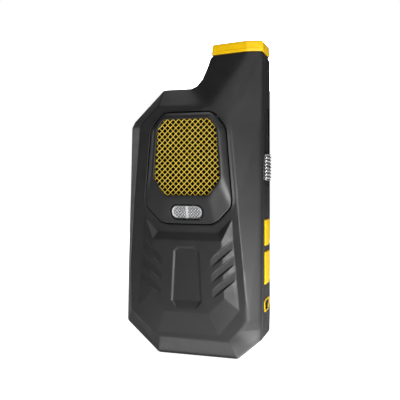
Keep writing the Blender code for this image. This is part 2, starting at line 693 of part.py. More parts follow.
def centre_key(key, centre):
    """Put a key's origin on its own axis of travel."""
    offset = Vector((centre[0], DISPLAY_FACE_Y, centre[1]))
    key.data.transform(Matrix.Translation(-offset))
    key.location = offset


def keypad(front):
    """Four function keys around an enter key with a zoom key above and below it."""
    for name, (x, z, half_width, half_height) in KEY_SHAPES.items():
        centre = (x * MM, z * MM)
        outline = rounded_rectangle(centre, half_width * MM, half_height * MM, 1.6 * MM, 3)
        flange = rounded_rectangle(centre, half_width * MM + KEY_FLANGE, half_height * MM + KEY_FLANGE,
                                   1.6 * MM, 3)
        key_piece(name, front, centre, outline, flange)
    centre = (CASE_X, KEYPAD_Z)
    key_piece("enter_key", front, centre, circle(centre, 5.0 * MM, 24), circle(centre, 6.0 * MM, 24))
    for name, level in (("zoom_in_key", 1), ("zoom_out_key", -1)):
        centre = (CASE_X, KEYPAD_Z + level * 12.5 * MM)
        half_width, half_height = ZOOM_KEY_HALF
        outline = rounded_rectangle(centre, half_width, half_height, 2.4 * MM, 4)
        flange = rounded_rectangle(centre, half_width + KEY_FLANGE, half_height + KEY_FLANGE,
                                   2.4 * MM, 4)
        key_piece(name, front, centre, outline, flange)
    mat_y = DISPLAY_FACE_Y - WALL - GAP - KEY_FLANGE - KEY_TRAVEL - GAP
    outline = rounded_rectangle((CASE_X, KEYPAD_Z), 22.0 * MM, 17.6 * MM, 3.0 * MM)
    plate("keypad_mat", outline, mat_y - 1.0 * MM, mat_y, RUBBER)


# -------------------------------------------------------------- side controls
def side_buttons(shell):
    """Two push buttons through the side wall, each with its own switch on one board."""
    low_y, high_y = BUTTON_Y
    back_x = SIDE_WALL_X - GAP - BUTTON_FLANGE
    switch_x = back_x - BUTTON_TRAVEL - GAP
    for label, (low_z, high_z) in BUTTON_SPANS.items():
        slant = 2.0 * MM
        outline = [(low_y, low_z), (high_y - slant, low_z), (high_y, low_z + slant),
                   (high_y, high_z - 1.0 * MM), (high_y - 1.0 * MM, high_z), (low_y, high_z)]
        hole = inset(outline, -GAP)
        boolean(shell, plate("hole_" + label, hole, SIDE_WALL_X - CLEAR_THROUGH,
                             SIDE_X + 3 * CLEAR_THROUGH, axis="X", cutter=True))
        button = plate("side_button_" + label, outline, back_x + 0.1 * MM, BUTTON_FACE_X, YELLOW,
                       axis="X")
        flange = inset(outline, -BUTTON_FLANGE)
        boolean(button, plate("flange_" + label, flange, back_x, SIDE_WALL_X - GAP, axis="X",
                              cutter=True), "UNION")
        middle = Vector((SIDE_WALL_X, (low_y + high_y) / 2, (low_z + high_z) / 2))
        button.data.transform(Matrix.Translation(-middle))
        button.location = middle
        box("side_switch_" + label, (switch_x - SWITCH_DEPTH, 6.0 * MM, middle.z - 2.2 * MM),
            (switch_x, 9.0 * MM, middle.z + 2.2 * MM), STEEL)
    board_x = switch_x - SWITCH_DEPTH - GAP
    box("side_switch_board", (board_x - 0.8 * MM, BOARD_Y[1] + GAP, 40.0 * MM),
        (board_x, 9.6 * MM, 70.0 * MM), BOARD)


def slide_switch(shell):
    """Knurled metal slider in a long slot, with an index pin, on a guide inside the wall."""
    boolean(shell, box("slide_slot", (SIDE_X - 6 * MM, SLOT_Y[0], SLOT_Z[0]),
                       (SIDE_X + 3 * MM, SLOT_Y[1], SLOT_Z[1]), cutter=True))
    face_x = SIDE_X + 1.5 * MM
    knob = box("slide_knob", (SIDE_X + 0.5 * MM, KNOB_Y[0], KNOB_Z[0]),
               (face_x, KNOB_Y[1], KNOB_Z[1]), CHROME)
    stem_low = (SIDE_WALL_X, SLOT_Y[0] + GAP, KNOB_Z[0] + 2.5 * MM)
    stem_high = (SIDE_X + 0.8 * MM, SLOT_Y[1] - GAP, KNOB_Z[1] - 2.5 * MM)
    boolean(knob, box("knob_stem", stem_low, stem_high, cutter=True), "UNION")
    middle = (KNOB_Z[0] + KNOB_Z[1]) / 2
    for index in (-3, -2, -1, 1, 2, 3):
        z = middle + index * KNURL_PITCH
        notch = box("knurl_%d" % (index + 4), (face_x - 0.4 * MM, KNOB_Y[0] + 2.5 * MM, z - 0.3 * MM),
                    (face_x + 2 * MM, KNOB_Y[1] + 1 * MM, z + 0.3 * MM), cutter=True)
        boolean(knob, notch)
    pin_y = (KNOB_Y[0] + KNOB_Y[1]) / 2 + 1.2 * MM
    floor_x = face_x - 0.9 * MM
    boolean(knob, rod("pin_socket", (floor_x, pin_y, middle), (face_x + 1 * MM, pin_y, middle),
                      PIN_RADIUS + GAP, cutter=True, sides=16))
    rod("slide_index_pin", (floor_x + GAP, pin_y, middle), (face_x + GAP, pin_y, middle),
        PIN_RADIUS, RUBBER, sides=16)
    guide_x = SIDE_WALL_X - GAP
    box("slide_guide", (guide_x - 1.6 * MM, SLOT_Y[0] - 0.6 * MM, SLOT_Z[0] + 1 * MM),
        (guide_x, SLOT_Y[1] + 1.4 * MM, SLOT_Z[1] - 1 * MM), KEYS)


def charging_port(shell, board):
    """Slanted bezel in the side wall around a charging connector sunk into the board's edge."""
    half_y, half_z = PORT_HALF
    slope = 2.6 * MM
    outline = [(PORT_Y - half_y + slope / 2, PORT_Z - half_z),
               (PORT_Y + half_y - slope, PORT_Z - half_z), (PORT_Y + half_y, PORT_Z - half_z + slope),
               (PORT_Y + half_y, PORT_Z + half_z), (PORT_Y - half_y + slope, PORT_Z + half_z),
               (PORT_Y - half_y, PORT_Z + half_z - slope / 2)]
    boolean(shell, plate("port_hole", inset(outline, -GAP), SIDE_X - 5 * MM, SIDE_X + 3 * MM,
                         axis="X", cutter=True))
    socket = rounded_rectangle((PORT_Y, PORT_Z), *SOCKET_HALF, 1.8 * MM, 4)
    plate("port_bezel", outline, SIDE_X - WALL, SIDE_X + 0.9 * MM, YELLOW, axis="X",
          holes=[inset(socket, -GAP)])
    tube = plate("usb_connector", socket, SOCKET_BACK_X, SOCKET_MOUTH_X, STEEL, axis="X")
    boolean(tube, plate("usb_mouth", inset(socket, SOCKET_METAL), SOCKET_BACK_X + 1.5 * MM,
                        SIDE_X + CLEAR_THROUGH, axis="X", cutter=True))
    room = SOCKET_HALF[1] + GAP
    boolean(board, box("usb_notch", (SOCKET_BACK_X - GAP, 0.0, PORT_Z - room),
                       (SIDE_X, BOARD_Y[1] + CLEAR_THROUGH, PORT_Z + room), cutter=True))


# ------------------------------------------------------------------ fasteners
def case_screws(rear, front, board):
    """Four screws driven from the display side into bosses of the grip-side shell."""
    edge_y = SPLIT_Y - SPLIT_HALF_GAP
    head_y = DISPLAY_FACE_Y - SCREW_SINK
    for index, place_of_boss in enumerate(SCREW_PLACES, start=1):
        x, z, boss_y = (value * MM for value in place_of_boss)
        boss = rod("boss_%d" % index, (x, boss_y, z), (x, edge_y, z), BOSS_RADIUS,
                   cutter=True, sides=16)
        boolean(rear, boss, "UNION")
        boolean(board, rod("boss_clearance_%d" % index, (x, boss_y, z), (x, edge_y, z),
                           BOSS_RADIUS + GAP, cutter=True, sides=16))
        boolean(rear, rod("pilot_%d" % index, (x, edge_y - 8 * MM, z), (x, edge_y + 1 * MM, z),
                          1.05 * MM, cutter=True, sides=16))
        boolean(front, rod("screw_hole_%d" % index, (x, edge_y, z), (x, DISPLAY_FACE_Y + 1 * MM, z),
                           1.35 * MM, cutter=True, sides=16))
        boolean(front, rod("screw_sink_%d" % index, (x, head_y - SCREW_SINK, z),
                           (x, DISPLAY_FACE_Y + 1 * MM, z), 2.3 * MM, cutter=True, sides=16))
        profile = [(0.0, 7.0 * MM), (0.75 * MM, 7.0 * MM), (0.75 * MM, 0.6 * MM),
                   (1.9 * MM, 0.6 * MM), (1.9 * MM, 0.0), (0.0, 0.0)]
        turned("case_screw_%d" % index, profile, (x, head_y, z), STEEL, steps=12)


def build():
    rear = rear_shell()
    front = front_shell()
    grip_panel(rear)
    speaker_pod(rear)
    antenna_cap(rear)
    shell_gasket()
    grille_mesh()
    loudspeaker()
    lamp()
    board = electronics()
    power()
    display(front)
    keypad(front)
    side_buttons(rear)
    slide_switch(rear)
    charging_port(rear, board)
    case_screws(rear, front, board)


build()
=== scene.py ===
"""Looks of the handheld GPS unit, built around its CAD model.

The casing, the speaker bezel, the lamp and the keys are fine skins laid over the CAD faces: each
skin takes its outline and its depth from a CAD node, and gets eased creases, rounded edges and a
procedural material. Lengths are in metres; the grip side faces -Y and the side buttons face +X.
"""
from math import cos, pi, radians, sin

import bmesh
import bpy
import numpy as np
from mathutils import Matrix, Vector
from mathutils.bvhtree import BVHTree
from mathutils.geometry import delaunay_2d_cdt


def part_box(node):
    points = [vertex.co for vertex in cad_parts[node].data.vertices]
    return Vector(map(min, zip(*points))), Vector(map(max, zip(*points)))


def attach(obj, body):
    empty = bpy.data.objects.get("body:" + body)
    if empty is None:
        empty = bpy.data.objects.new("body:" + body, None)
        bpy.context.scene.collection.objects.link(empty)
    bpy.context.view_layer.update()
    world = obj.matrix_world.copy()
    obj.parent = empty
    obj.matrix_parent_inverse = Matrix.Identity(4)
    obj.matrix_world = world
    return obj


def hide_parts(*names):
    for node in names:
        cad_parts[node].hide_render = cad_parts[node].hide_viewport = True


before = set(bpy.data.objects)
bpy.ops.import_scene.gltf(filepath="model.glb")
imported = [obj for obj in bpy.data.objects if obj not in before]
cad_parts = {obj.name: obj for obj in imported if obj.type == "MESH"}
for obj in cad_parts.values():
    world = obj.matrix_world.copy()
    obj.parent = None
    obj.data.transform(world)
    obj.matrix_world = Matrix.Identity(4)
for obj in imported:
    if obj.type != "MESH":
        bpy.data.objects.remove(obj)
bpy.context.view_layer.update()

MM = 0.001

# Camera: turned towards the side with the buttons, slightly above
VIEW_YAW = radians(17.5)
VIEW_DROP = radians(2.0)
VIEW_DISTANCE = 300.0 * MM
VIEW_LENS = 54.0
AIM = Vector((5.45 * MM, -14.0 * MM, 81.3 * MM))

# Depths at which outlines are taken
REAR_BACK_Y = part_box("rear_shell")[1].y
FRONT_FACE_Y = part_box("front_shell")[1].y
POD_FACE_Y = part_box("speaker_pod")[0].y
CASE_SLICE_Y = REAR_BACK_Y - 0.3 * MM

# Casing
CASE_ROUNDING = 3.2 * MM
POD_ROUNDING = 9.0 * MM
MESH_ROUNDING = 3.6 * MM
CAP_ROUNDING = 1.6 * MM
CAP_EDGE = 1.5 * MM
SEAM_GAP = 0.45 * MM
WALL_INSET = 0.02 * MM
WALL_THICKNESS = 1.6 * MM
BUTTON_GAP = 0.3 * MM

# Woven grille
WIRE_SPACING = 2.08 * MM
WIRE_RADIUS = 0.145 * MM

# Lamp
PRISM_PITCH = 1.10 * MM
PRISM_RISE = 0.30 * MM
LENS_BAR_HALF = 0.45 * MM
LAMP_RIM = 0.45 * MM
LENS_SINK = 0.45 * MM
LAMP_RIM_SINK = 0.22 * MM

# Side controls
BUTTON_CROWN = 0.12 * MM
KNURL_PITCH = 1.7 * MM
KNURL_DEPTH = 0.55 * MM
PORT_RING_WIDTH = 0.75 * MM
PORT_LINING_SINK = 0.3 * MM

# Display side
KEY_DISH = 0.18 * MM
KEY_SINK = 0.12 * MM
MARK_RISE = 0.08 * MM
SCREW_RECESS = 0.7 * MM

# Surroundings: how strongly the floor and the air light the object
FLOOR_GLOW = 0.12
AIR_LIGHT = 0.11


# ------------------------------------------------------------------- outlines
def node_shape(node):
    """The node's mesh with its split vertices joined again."""
    bm = bmesh.new()
    bm.from_mesh(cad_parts[node].data)
    bmesh.ops.remove_doubles(bm, verts=bm.verts, dist=0.003 * MM)
    return bm


def signed_area(loop):
    """Area of an outline, positive where it runs counter-clockwise."""
    return sum(a[0] * b[1] - b[0] * a[1] for a, b in zip(loop, loop[1:] + loop[:1])) / 2


def without_straight_points(loop):
    """The outline without the points that lie on a straight stretch."""
    kept = []
    for before, here, after in zip(loop[-1:] + loop[:-1], loop, loop[1:] + loop[:1]):
        first = (Vector(here) - Vector(before)).normalized()
        second = (Vector(after) - Vector(here)).normalized()
        if first.dot(second) < cos(radians(1.0)):
            kept.append(here)
    return kept


def slice_loops(node, axis, value):
    """Closed outlines where a plane cuts the node, largest first, each counter-clockwise."""
    bm = node_shape(node)
    normal = Vector([float(axis == index) for index in range(3)])
    everything = bm.verts[:] + bm.edges[:] + bm.faces[:]
    bmesh.ops.bisect_plane(bm, geom=everything, plane_co=normal * value, plane_no=normal,
                           clear_inner=True, clear_outer=True)
    bmesh.ops.remove_doubles(bm, verts=bm.verts, dist=0.003 * MM)
    flat = [index for index in range(3) if index != axis]
    loops = []
    unseen = dict.fromkeys(bm.verts)
    while unseen:
        vert = next(iter(unseen))
        del unseen[vert]
        loop = [vert]
        while True:
            onward = [edge.other_vert(vert) for edge in vert.link_edges]
            onward = [other for other in onward if other in unseen]
            if not onward:
                break
            vert = onward[0]
            del unseen[vert]
            loop.append(vert)
        points = without_straight_points([tuple(spot.co[index] for index in flat) for spot in loop])
        if len(points) > 2:
            loops.append(points if signed_area(points) > 0 else points[::-1])
    bm.free()
    return sorted(loops, key=signed_area, reverse=True)


def rounded_loop(loop, radius, steps=6):
    """The outline with each clear corner replaced by an arc-like curve."""
    turned = []
    for before, here, after in zip(loop[-1:] + loop[:-1], loop, loop[1:] + loop[:1]):
        corner = Vector(here)
        back = Vector(before) - corner
        ahead = Vector(after) - corner
        turn = pi - back.angle(ahead)
        reach = min(radius * np.tan(min(turn, 2.6) / 2), back.length * 0.45, ahead.length * 0.45)
        if turn < radians(4):
            turned.append(tuple(corner))
            continue
        start = corner + back.normalized() * reach
        end = corner + ahead.normalized() * reach
        for step in range(steps + 1):
            part = step / steps
            turned.append(tuple(start.lerp(corner, part).lerp(corner.lerp(end, part), part)))
    return turned


def even_loop(loop, spacing):
    """The outline with points no further apart than the spacing."""
    points = []
    for here, after in zip(loop, loop[1:] + loop[:1]):
        start = Vector(here)
        edge = Vector(after) - start
        parts = max(1, int(np.ceil(edge.length / spacing)))
        points += [tuple(start + edge * step / parts) for step in range(parts)]
    clean = []
    for point in points:
        if not clean or (Vector(point) - Vector(clean[-1])).length > spacing * 0.15:
            clean.append(point)
    return clean


def shifted(loop, distances):
    """Each point moved inwards (or outwards, where negative) by its own distance."""
    spots = np.array(loop)
    ahead = np.roll(spots, -1, 0) - spots
    ahead /= np.linalg.norm(ahead, axis=1)[:, None]
    both = ahead + np.roll(ahead, 1, 0)
    both /= np.linalg.norm(both, axis=1)[:, None]
    inward = np.stack([-both[:, 1], both[:, 0]], 1)
    spread = np.clip(np.sum(ahead * both, 1), 0.4, 1)
    moved = spots + inward * (np.broadcast_to(distances, len(spots)) / spread)[:, None]
    return [tuple(point) for point in moved]


def middle_and_half(outline):
    """Centre of an outline's bounds and half its size."""
    spots = np.array(outline)
    return (spots.max(0) + spots.min(0)) / 2, (spots.max(0) - spots.min(0)) / 2


def ring(centre, radius, steps=40):
    """A circle as an outline."""
    return [(centre[0] + radius * cos(2 * pi * step / steps),
             centre[1] + radius * sin(2 * pi * step / steps)) for step in range(steps)]


def rounded_box(low, high, radius):
    """A rectangle with rounded corners."""
    corners = [(low[0], low[1]), (high[0], low[1]), (high[0], high[1]), (low[0], high[1])]
    return rounded_loop(corners, radius)


def distance_to(points, loop):
    """Distance from each point to the outline."""
    start = np.array(loop)
    edge = np.roll(start, -1, 0) - start
    square = np.sum(edge * edge, 1)
    nearest = np.empty(len(points))
    for first in range(0, len(points), 4000):
        block = points[first:first + 4000]
        reach = block[:, None, :] - start[None]
        along = np.clip(np.sum(reach * edge, 2) / square, 0, 1)
        gap = reach - along[:, :, None] * edge
        nearest[first:first + 4000] = np.sqrt(np.min(np.sum(gap * gap, 2), 1))
    return nearest


def within(points, loop):
    """True for each point that lies inside the outline."""
    found = np.zeros(len(points), bool)
    for (x0, z0), (x1, z1) in zip(loop, loop[1:] + loop[:1]):
        if z0 == z1:
            continue
        crosses = (points[:, 1] < z0) != (points[:, 1] < z1)
        at = x0 + (points[:, 1] - z0) * (x1 - x0) / (z1 - z0)
        found ^= crosses & (points[:, 0] < at)
    return found


# --------------------------------------------------------------------- relief
def swept(values, kernel, axis):
    """Weighted sum of each cell's neighbours along one axis."""
    reach = len(kernel) // 2
    pad = [(0, 0), (0, 0)]
    pad[axis] = (reach, reach)
    padded = np.pad(values, pad)
    count = values.shape[axis]
    total = np.zeros_like(values)
    for step, weight in enumerate(kernel):
        total += weight * np.take(padded, np.arange(step, step + count), axis=axis)
    return total


def eased(heights, cells):
    """Heights after fitting a small weighted plane at each cell; gaps are filled from around."""
    known = np.isfinite(heights)
    filled = np.where(known, heights, 0.0)
    known = known.astype(float)
    reach = int(np.ceil(cells * 3))
    offset = np.arange(-reach, reach + 1, dtype=float)
    weight = np.exp(-0.5 * (offset / cells) ** 2)
    kernels = [weight, weight * offset, weight * offset ** 2]

    def moment(values, across, up):
        return swept(swept(values, kernels[across], 0), kernels[up], 1)

    m00, m10, m01 = (moment(known, *order) for order in ((0, 0), (1, 0), (0, 1)))
    m20, m11, m02 = (moment(known, *order) for order in ((2, 0), (1, 1), (0, 2)))
    t00, t10, t01 = (moment(filled, *order) for order in ((0, 0), (1, 0), (0, 1)))
    steady = m00 * 0.02 * cells ** 2 + 1e-9
    m20 = m20 + steady
    m02 = m02 + steady
    whole = m00 * (m20 * m02 - m11 ** 2) - m10 * (m10 * m02 - m11 * m01) + m01 * (m10 * m11 - m20 * m01)
    part = t00 * (m20 * m02 - m11 ** 2) - m10 * (t10 * m02 - m11 * t01) + m01 * (t10 * m11 - m20 * t01)
    enough = (m00 > 0.02 * m00.max()) & (whole > 0)
    return np.where(enough, part / np.where(enough, whole, 1.0), np.nan)


class Relief:
    """Height of a node's face over a grid of (x, z), towards one side (-1 is -Y, 1 is +Y)."""

    def __init__(self, node, side, pitch, floor, holes=()):
        low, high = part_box(node)
        self.side = side
        self.pitch = pitch
        self.start = np.array([low.x - 1 * MM, low.z - 1 * MM])
        across = np.arange(self.start[0], high.x + 1 * MM, pitch)
        up = np.arange(self.start[1], high.z + 1 * MM, pitch)
        bm = node_shape(node)
        tree = BVHTree.FromBMesh(bm)
        bm.free()
        away = Vector((0, -side, 0))
        self.heights = np.full((len(across), len(up)), np.nan)
        for column, x in enumerate(across):
            for row, z in enumerate(up):
                hit = tree.ray_cast((x, side * 60 * MM, z), away)[0]
                if hit is not None and hit.y * side > floor * side:
                    self.heights[column, row] = hit.y * side
        spots = np.stack(np.meshgrid(across, up, indexing="ij"), 2).reshape(-1, 2)
        for hole in holes:
            self.heights[within(spots, hole).reshape(self.heights.shape)] = np.nan
        self.spots = spots
        self.sharp = self.heights.copy()

    def ease(self, radius, share=None):
        """Round the creases; share(x, z) says how much of it each place takes."""
        smooth = eased(self.heights, radius / self.pitch)
        if share is not None:
            part = share(self.spots[:, 0], self.spots[:, 1]).reshape(smooth.shape)
            smooth = np.where(np.isfinite(self.heights), self.heights + (smooth - self.heights) * part,
                              smooth)
        self.heights = np.where(np.isfinite(smooth), smooth, self.heights)
        return self

    def finish(self):
        """Fill what is still unknown, so that a sample near an edge is always defined."""
        for cells in (2, 6, 16):
            missing = ~np.isfinite(self.heights)
            if missing.any():
                self.heights = np.where(missing, eased(self.heights, cells), self.heights)
        self.heights = np.where(np.isfinite(self.heights), self.heights, np.nanmean(self.heights))
        self.heights = np.minimum(self.heights, np.nanmax(self.sharp))
        return self

    def __call__(self, across, up):
        place = (np.stack([across, up], 1) - self.start) / self.pitch
        limit = np.array(self.heights.shape) - 2
        cell = np.clip(np.floor(place).astype(int), 0, limit)
        part = np.clip(place - cell, 0, 1)
        u, v = part[:, 0], part[:, 1]
        i, j = cell[:, 0], cell[:, 1]
        h = self.heights
        low = h[i, j] * (1 - u) + h[i + 1, j] * u
        high = h[i, j + 1] * (1 - u) + h[i + 1, j + 1] * u
        return low * (1 - v) + high * v


# ---------------------------------------------------------------------- skins
# Each of these puts a face drawn over (u, v), w deep towards the outside, on one side
def to_rear(u, v, w):
    return np.stack([u, -w, v], 1)


def to_front(u, v, w):
    return np.stack([u, w, v], 1)


def to_side(u, v, w):
    return np.stack([w, u, v], 1)


ARC_STEPS = (0, 12, 26, 42, 60, 76)
CDT_SCALE = 1000.0


def build_piece(name, points, faces, finish, smooth=True):
    """A new object from points and faces, with its finish."""
    mesh = bpy.data.meshes.new(name)
    mesh.from_pydata([tuple(point) for point in points], [], faces)
    mesh.validate()
    mesh.materials.append(FINISHES[finish])
    if smooth:
        mesh.shade_smooth()
    item = bpy.data.objects.new(name, mesh)
    bpy.context.scene.collection.objects.link(item)
    return item


def tube_faces(count, levels, closed=False):
    """Quads between rings of count points; closed joins the last ring to the first."""
    faces = []
    for level in range(levels if closed else levels - 1):
        here = level * count
        there = (level + 1) % levels * count
        for step in range(count):
            after = (step + 1) % count
            faces.append((here + step, here + after, there + after, there + step))
    return faces


def flat_face(level):
    """A height function for a plain flat face."""
    return lambda u, v: np.full(len(u), level)


def radius_at(radius, spots):
    """A radius given as a number or as a function of both coordinates, at each place."""
    if callable(radius):
        return radius(spots[:, 0], spots[:, 1])
    return np.full(len(spots), radius)


def grid_over(outer, holes, rim, hole_rim, pitch, fine):
    """Points of an even grid inside the outline, clear of every rounded edge."""
    corners = np.array(outer)
    stretches = []
    for start, end, step in [(corners.min(0), corners.max(0), pitch)] + ([fine] if fine else []):
        across = np.arange(start[0] + step / 2, end[0], step)
        up = np.arange(start[1] + step / 2, end[1], step)
        stretch = np.stack(np.meshgrid(across, up, indexing="ij"), 2).reshape(-1, 2)
        stretch[:, 0] += (np.arange(len(stretch)) % 2) * step * 0.02
        stretches.append(stretch)
    if fine:
        covered = np.all((stretches[0] > fine[0]) & (stretches[0] < fine[1]), 1)
        stretches[0] = stretches[0][~covered]
    grid = np.concatenate(stretches)
    grid = grid[within(grid, outer)]
    keep = distance_to(grid, outer) > np.maximum(radius_at(rim, grid), 0.1 * MM) + pitch * 0.3
    for loop in holes:
        keep &= ~within(grid, loop) & (distance_to(grid, loop) > hole_rim + pitch * 0.3)
    return grid[keep]


def edge_rings(edges):
    """Nested outlines that round each edge, and how far each of them lies below the face."""
    rings = []
    drops = []
    for loop, radius, side, _ in edges:
        for degrees in ARC_STEPS:
            angle = radians(degrees)
            rings.append(shifted(loop, side * radius * (1 - cos(angle))))
            drops.append(radius * (1 - sin(angle)))
    return rings, drops


def triangulated(rings, grid):
    """Triangles over the rings and the grid: their places, faces and which input each place was."""
    flat = [Vector(point) * CDT_SCALE for loop in rings for point in loop]
    flat += [Vector(point) * CDT_SCALE for point in grid]
    borders = []
    start = 0
    for index, loop in enumerate(rings):
        count = len(loop)
        if index % len(ARC_STEPS) == 0:
            borders += [(start + step, start + (step + 1) % count) for step in range(count)]
        start += count
    spots, _, faces, origin, _, _ = delaunay_2d_cdt(flat, borders, [], 1, 1e-7)
    spots = np.array([tuple(point) for point in spots]) / CDT_SCALE
    faces = np.array([face for face in faces if len(face) == 3])
    source = np.array([indices[0] if len(indices) else -1 for indices in origin])
    return spots, faces, source


def hang_skirts(edges, level, where, turn, points, faces):
    """Add walls that hang down behind every edge of the face."""
    start = 0
    for loop, _, side, deep in edges:
        count = len(loop)
        base = [where.get(start + step) for step in range(count)]
        below = []
        for (u, v), index in zip(loop, base):
            top = level[index] if index is not None else 0.0
            below.append(len(points))
            points.append(tuple(turn(np.array([u]), np.array([v]), np.array([top - deep]))[0]))
        for step in range(count):
            after = (step + 1) % count
            if base[step] is None or base[after] is None:
                continue
            quad = (base[step], below[step], below[after], base[after])
            faces.append(quad if (side > 0) == (turn is not to_front) else quad[::-1])
        start += count * len(ARC_STEPS)


def skin(name, finish, outer, holes, height, turn, pitch, rim, hole_rim=0.3 * MM,
         skirt=1.0 * MM, hole_skirt=1.0 * MM, fine=None, paint=None):
    """A face over an outline with holes: its height is sampled, its edges are rounded.

    height(u, v) is the height towards the outside, rim(u, v) or a number the edge radius.
    fine is (low corner, high corner, pitch) of a stretch with a closer grid.
    paint(u, v) is kept with the face as the pattern its finish reads: painted light and shade that the
    finish turns into colour.
    """
    edges = [(outer, radius_at(rim, np.array(outer)), 1, skirt)]
    edges += [(loop, np.full(len(loop), hole_rim), -1, hole_skirt) for loop in holes]
    rings, drops = edge_rings(edges)
    grid = grid_over(outer, holes, rim, hole_rim, pitch, fine)
    spots, faces, source = triangulated(rings, grid)
    middle = spots[faces].mean(1)
    keep = within(middle, outer)
    for loop in holes:
        keep &= ~within(middle, loop)
    drop = np.concatenate(drops + [np.zeros(len(grid))])
    level = height(spots[:, 0], spots[:, 1]) - np.where(source >= 0, drop[source], 0.0)
    points = [tuple(point) for point in turn(spots[:, 0], spots[:, 1], level)]
    order = 1 if turn is not to_front else -1
    triangles = [tuple(int(index) for index in face[::order]) for face in faces[keep]]
    where = {int(first): index for index, first in enumerate(source) if first >= 0}
    hang_skirts(edges, level, where, turn, points, triangles)
    item = build_piece(name, points, triangles, finish)
    if paint is not None:
        # The painted light and shade is stored as the pattern attribute
        pattern = item.data.attributes.new("pattern", "FLOAT", "POINT")
        shade_of = np.zeros(len(points), np.float32)
        shade_of[:len(spots)] = paint(spots[:, 0], spots[:, 1])
        pattern.data.foreach_set("value", shade_of)
    return item


def add(piece, body, slot, *nodes):
    """Attach a piece to the body that carries it and hide the CAD nodes it stands for; slot, the finish, is
    not used.
    """
    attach(piece, body)
    if nodes:
        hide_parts(*nodes)
    return piece


def smooth_step(value, low, high):
    """0 below low, 1 above high, with an even change between them."""
    part = np.clip((value - low) / (high - low), 0, 1)
    return part * part * (3 - 2 * part)


# ------------------------------------------------------------------ materials
FINISHES = {}


class Shader:
    """One procedural material, kept in FINISHES under its name."""

    def __init__(self, name, **sockets):
        self.material = bpy.data.materials.new(name + "_fine")
        self.material.use_nodes = True
        self.tree = self.material.node_tree
        self.surface = self.tree.nodes["Principled BSDF"]
        for label, value in sockets.items():
            self.surface.inputs[label.replace("_", " ")].default_value = value
        self.where = self.node("ShaderNodeTexCoord").outputs["Object"]
        FINISHES[name] = self.material

    def node(self, kind, sockets=(), **settings):
        """A new node; sockets maps its inputs to values or to other nodes' outputs."""
        made = self.tree.nodes.new(kind)
        for label, value in settings.items():
            setattr(made, label, value)
        for label, value in dict(sockets).items():
            if isinstance(value, bpy.types.NodeSocket):
                self.tree.links.new(value, made.inputs[label])
            else:
                made.inputs[label].default_value = value
        return made

    def noise(self, size, detail=3.0, roughness=0.5):
        return self.node("ShaderNodeTexNoise", {"Scale": 1.0 / size, "Detail": detail,
                                                "Roughness": roughness, "Vector": self.where}).outputs["Fac"]

    def ranged(self, source, low, high, start=0.3, end=0.7):
        return self.node("ShaderNodeMapRange", {"Value": source, "From Min": start, "From Max": end,
                                                "To Min": low, "To Max": high}).outputs["Result"]

    def joined(self, first, second, operation):
        made = self.node("ShaderNodeMath", operation=operation)
        self.tree.links.new(first, made.inputs[0])
        self.tree.links.new(second, made.inputs[1])
        return made.outputs[0]

    def mixed(self, factor, first, second):
        """A colour between two, by a factor socket; the first is a colour or a socket."""
        made = self.node("ShaderNodeMix", {"Factor": factor}, data_type="RGBA")
        sockets = [item for item in made.inputs if item.type == "RGBA"]
        sockets[1].default_value = (*second, 1.0)
        if isinstance(first, tuple):
            sockets[0].default_value = (*first, 1.0)
        else:
            self.tree.links.new(first, sockets[0])
        return [item for item in made.outputs if item.type == "RGBA"][0]

    def bump(self, source, depth, strength=1.0, **before):
        sockets = {"Height": source, "Distance": depth, "Strength": strength, **before}
        return self.node("ShaderNodeBump", sockets).outputs["Normal"]

    def edges(self, start=0.52, end=0.6):
        """1 on sharp outer edges, 0 elsewhere."""
        return self.ranged(self.node("ShaderNodeNewGeometry").outputs["Pointiness"], 0.0, 1.0, start, end)

    def out(self, label, source):
        self.tree.links.new(source, self.surface.inputs[label])


def shade(colour, factor):
    """The colour made darker or lighter."""
    return tuple(min(1.0, part * factor) for part in colour)


def moulded(name, colour, roughness, grain=0.35 * MM, grain_depth=0.012 * MM, wear=1.5,
            spread=0.12, **sockets):
    """Moulded plastic: fine grain, faint cloudiness, lighter worn edges."""
    made = Shader(name, **sockets)
    cloud = made.noise(14 * MM, 4.0, 0.6)
    tone = made.mixed(made.ranged(cloud, 0.0, 1.0), shade(colour, 1 - spread),
                      shade(colour, 1 + spread))
    speck = made.noise(grain * 0.6, 2.0)
    tone = made.mixed(made.ranged(speck, 0.0, 0.5, 0.45, 0.75), tone, shade(colour, 1 + 3 * spread))
    if wear > 1:
        scuffs = made.joined(made.edges(), made.ranged(made.noise(1.2 * MM), 0.0, 0.6), "MULTIPLY")
        tone = made.mixed(scuffs, tone, shade(colour, wear))
    made.out("Base Color", tone)
    made.out("Roughness", made.ranged(made.noise(6 * MM), roughness - 0.05, roughness + 0.06))
    normal = made.bump(made.noise(grain, 2.0), grain_depth)
    made.out("Normal", made.bump(made.noise(5 * MM), 0.02 * MM, 0.5, Normal=normal))


def metal(name, colour, roughness, grain=0.25 * MM, depth=0.004 * MM, metallic=1.0):
    """Bare or lacquered metal with an uneven sheen."""
    made = Shader(name, Metallic=metallic)
    made.out("Base Color", made.mixed(made.ranged(made.noise(2 * MM), 0.0, 1.0), shade(colour, 0.86),
                                      shade(colour, 1.06)))
    made.out("Roughness", made.ranged(made.noise(0.7 * MM), roughness * 0.8, roughness * 1.3))
    made.out("Normal", made.bump(made.noise(grain), depth))


def prismatic(name, dark, light):
    """Clear moulding whose colour is painted from the mesh's own pattern: painted highlights where the small
    facets' tops, the bar and the ends catch light, painted shade in between.
    """
    made = Shader(name, Transmission_Weight=0.25, IOR=1.49)
    pattern = made.node("ShaderNodeAttribute", attribute_name="pattern").outputs["Fac"]
    # The pattern attribute holds painted light: the dark colour is painted shade, the light colour painted
    # highlight
    made.out("Base Color", made.mixed(made.ranged(pattern, 0.0, 1.0, 0.05, 0.8), dark, light))
    made.out("Roughness", made.ranged(made.noise(0.8 * MM), 0.12, 0.25))
    made.out("Normal", made.bump(made.noise(0.5 * MM), 0.004 * MM))


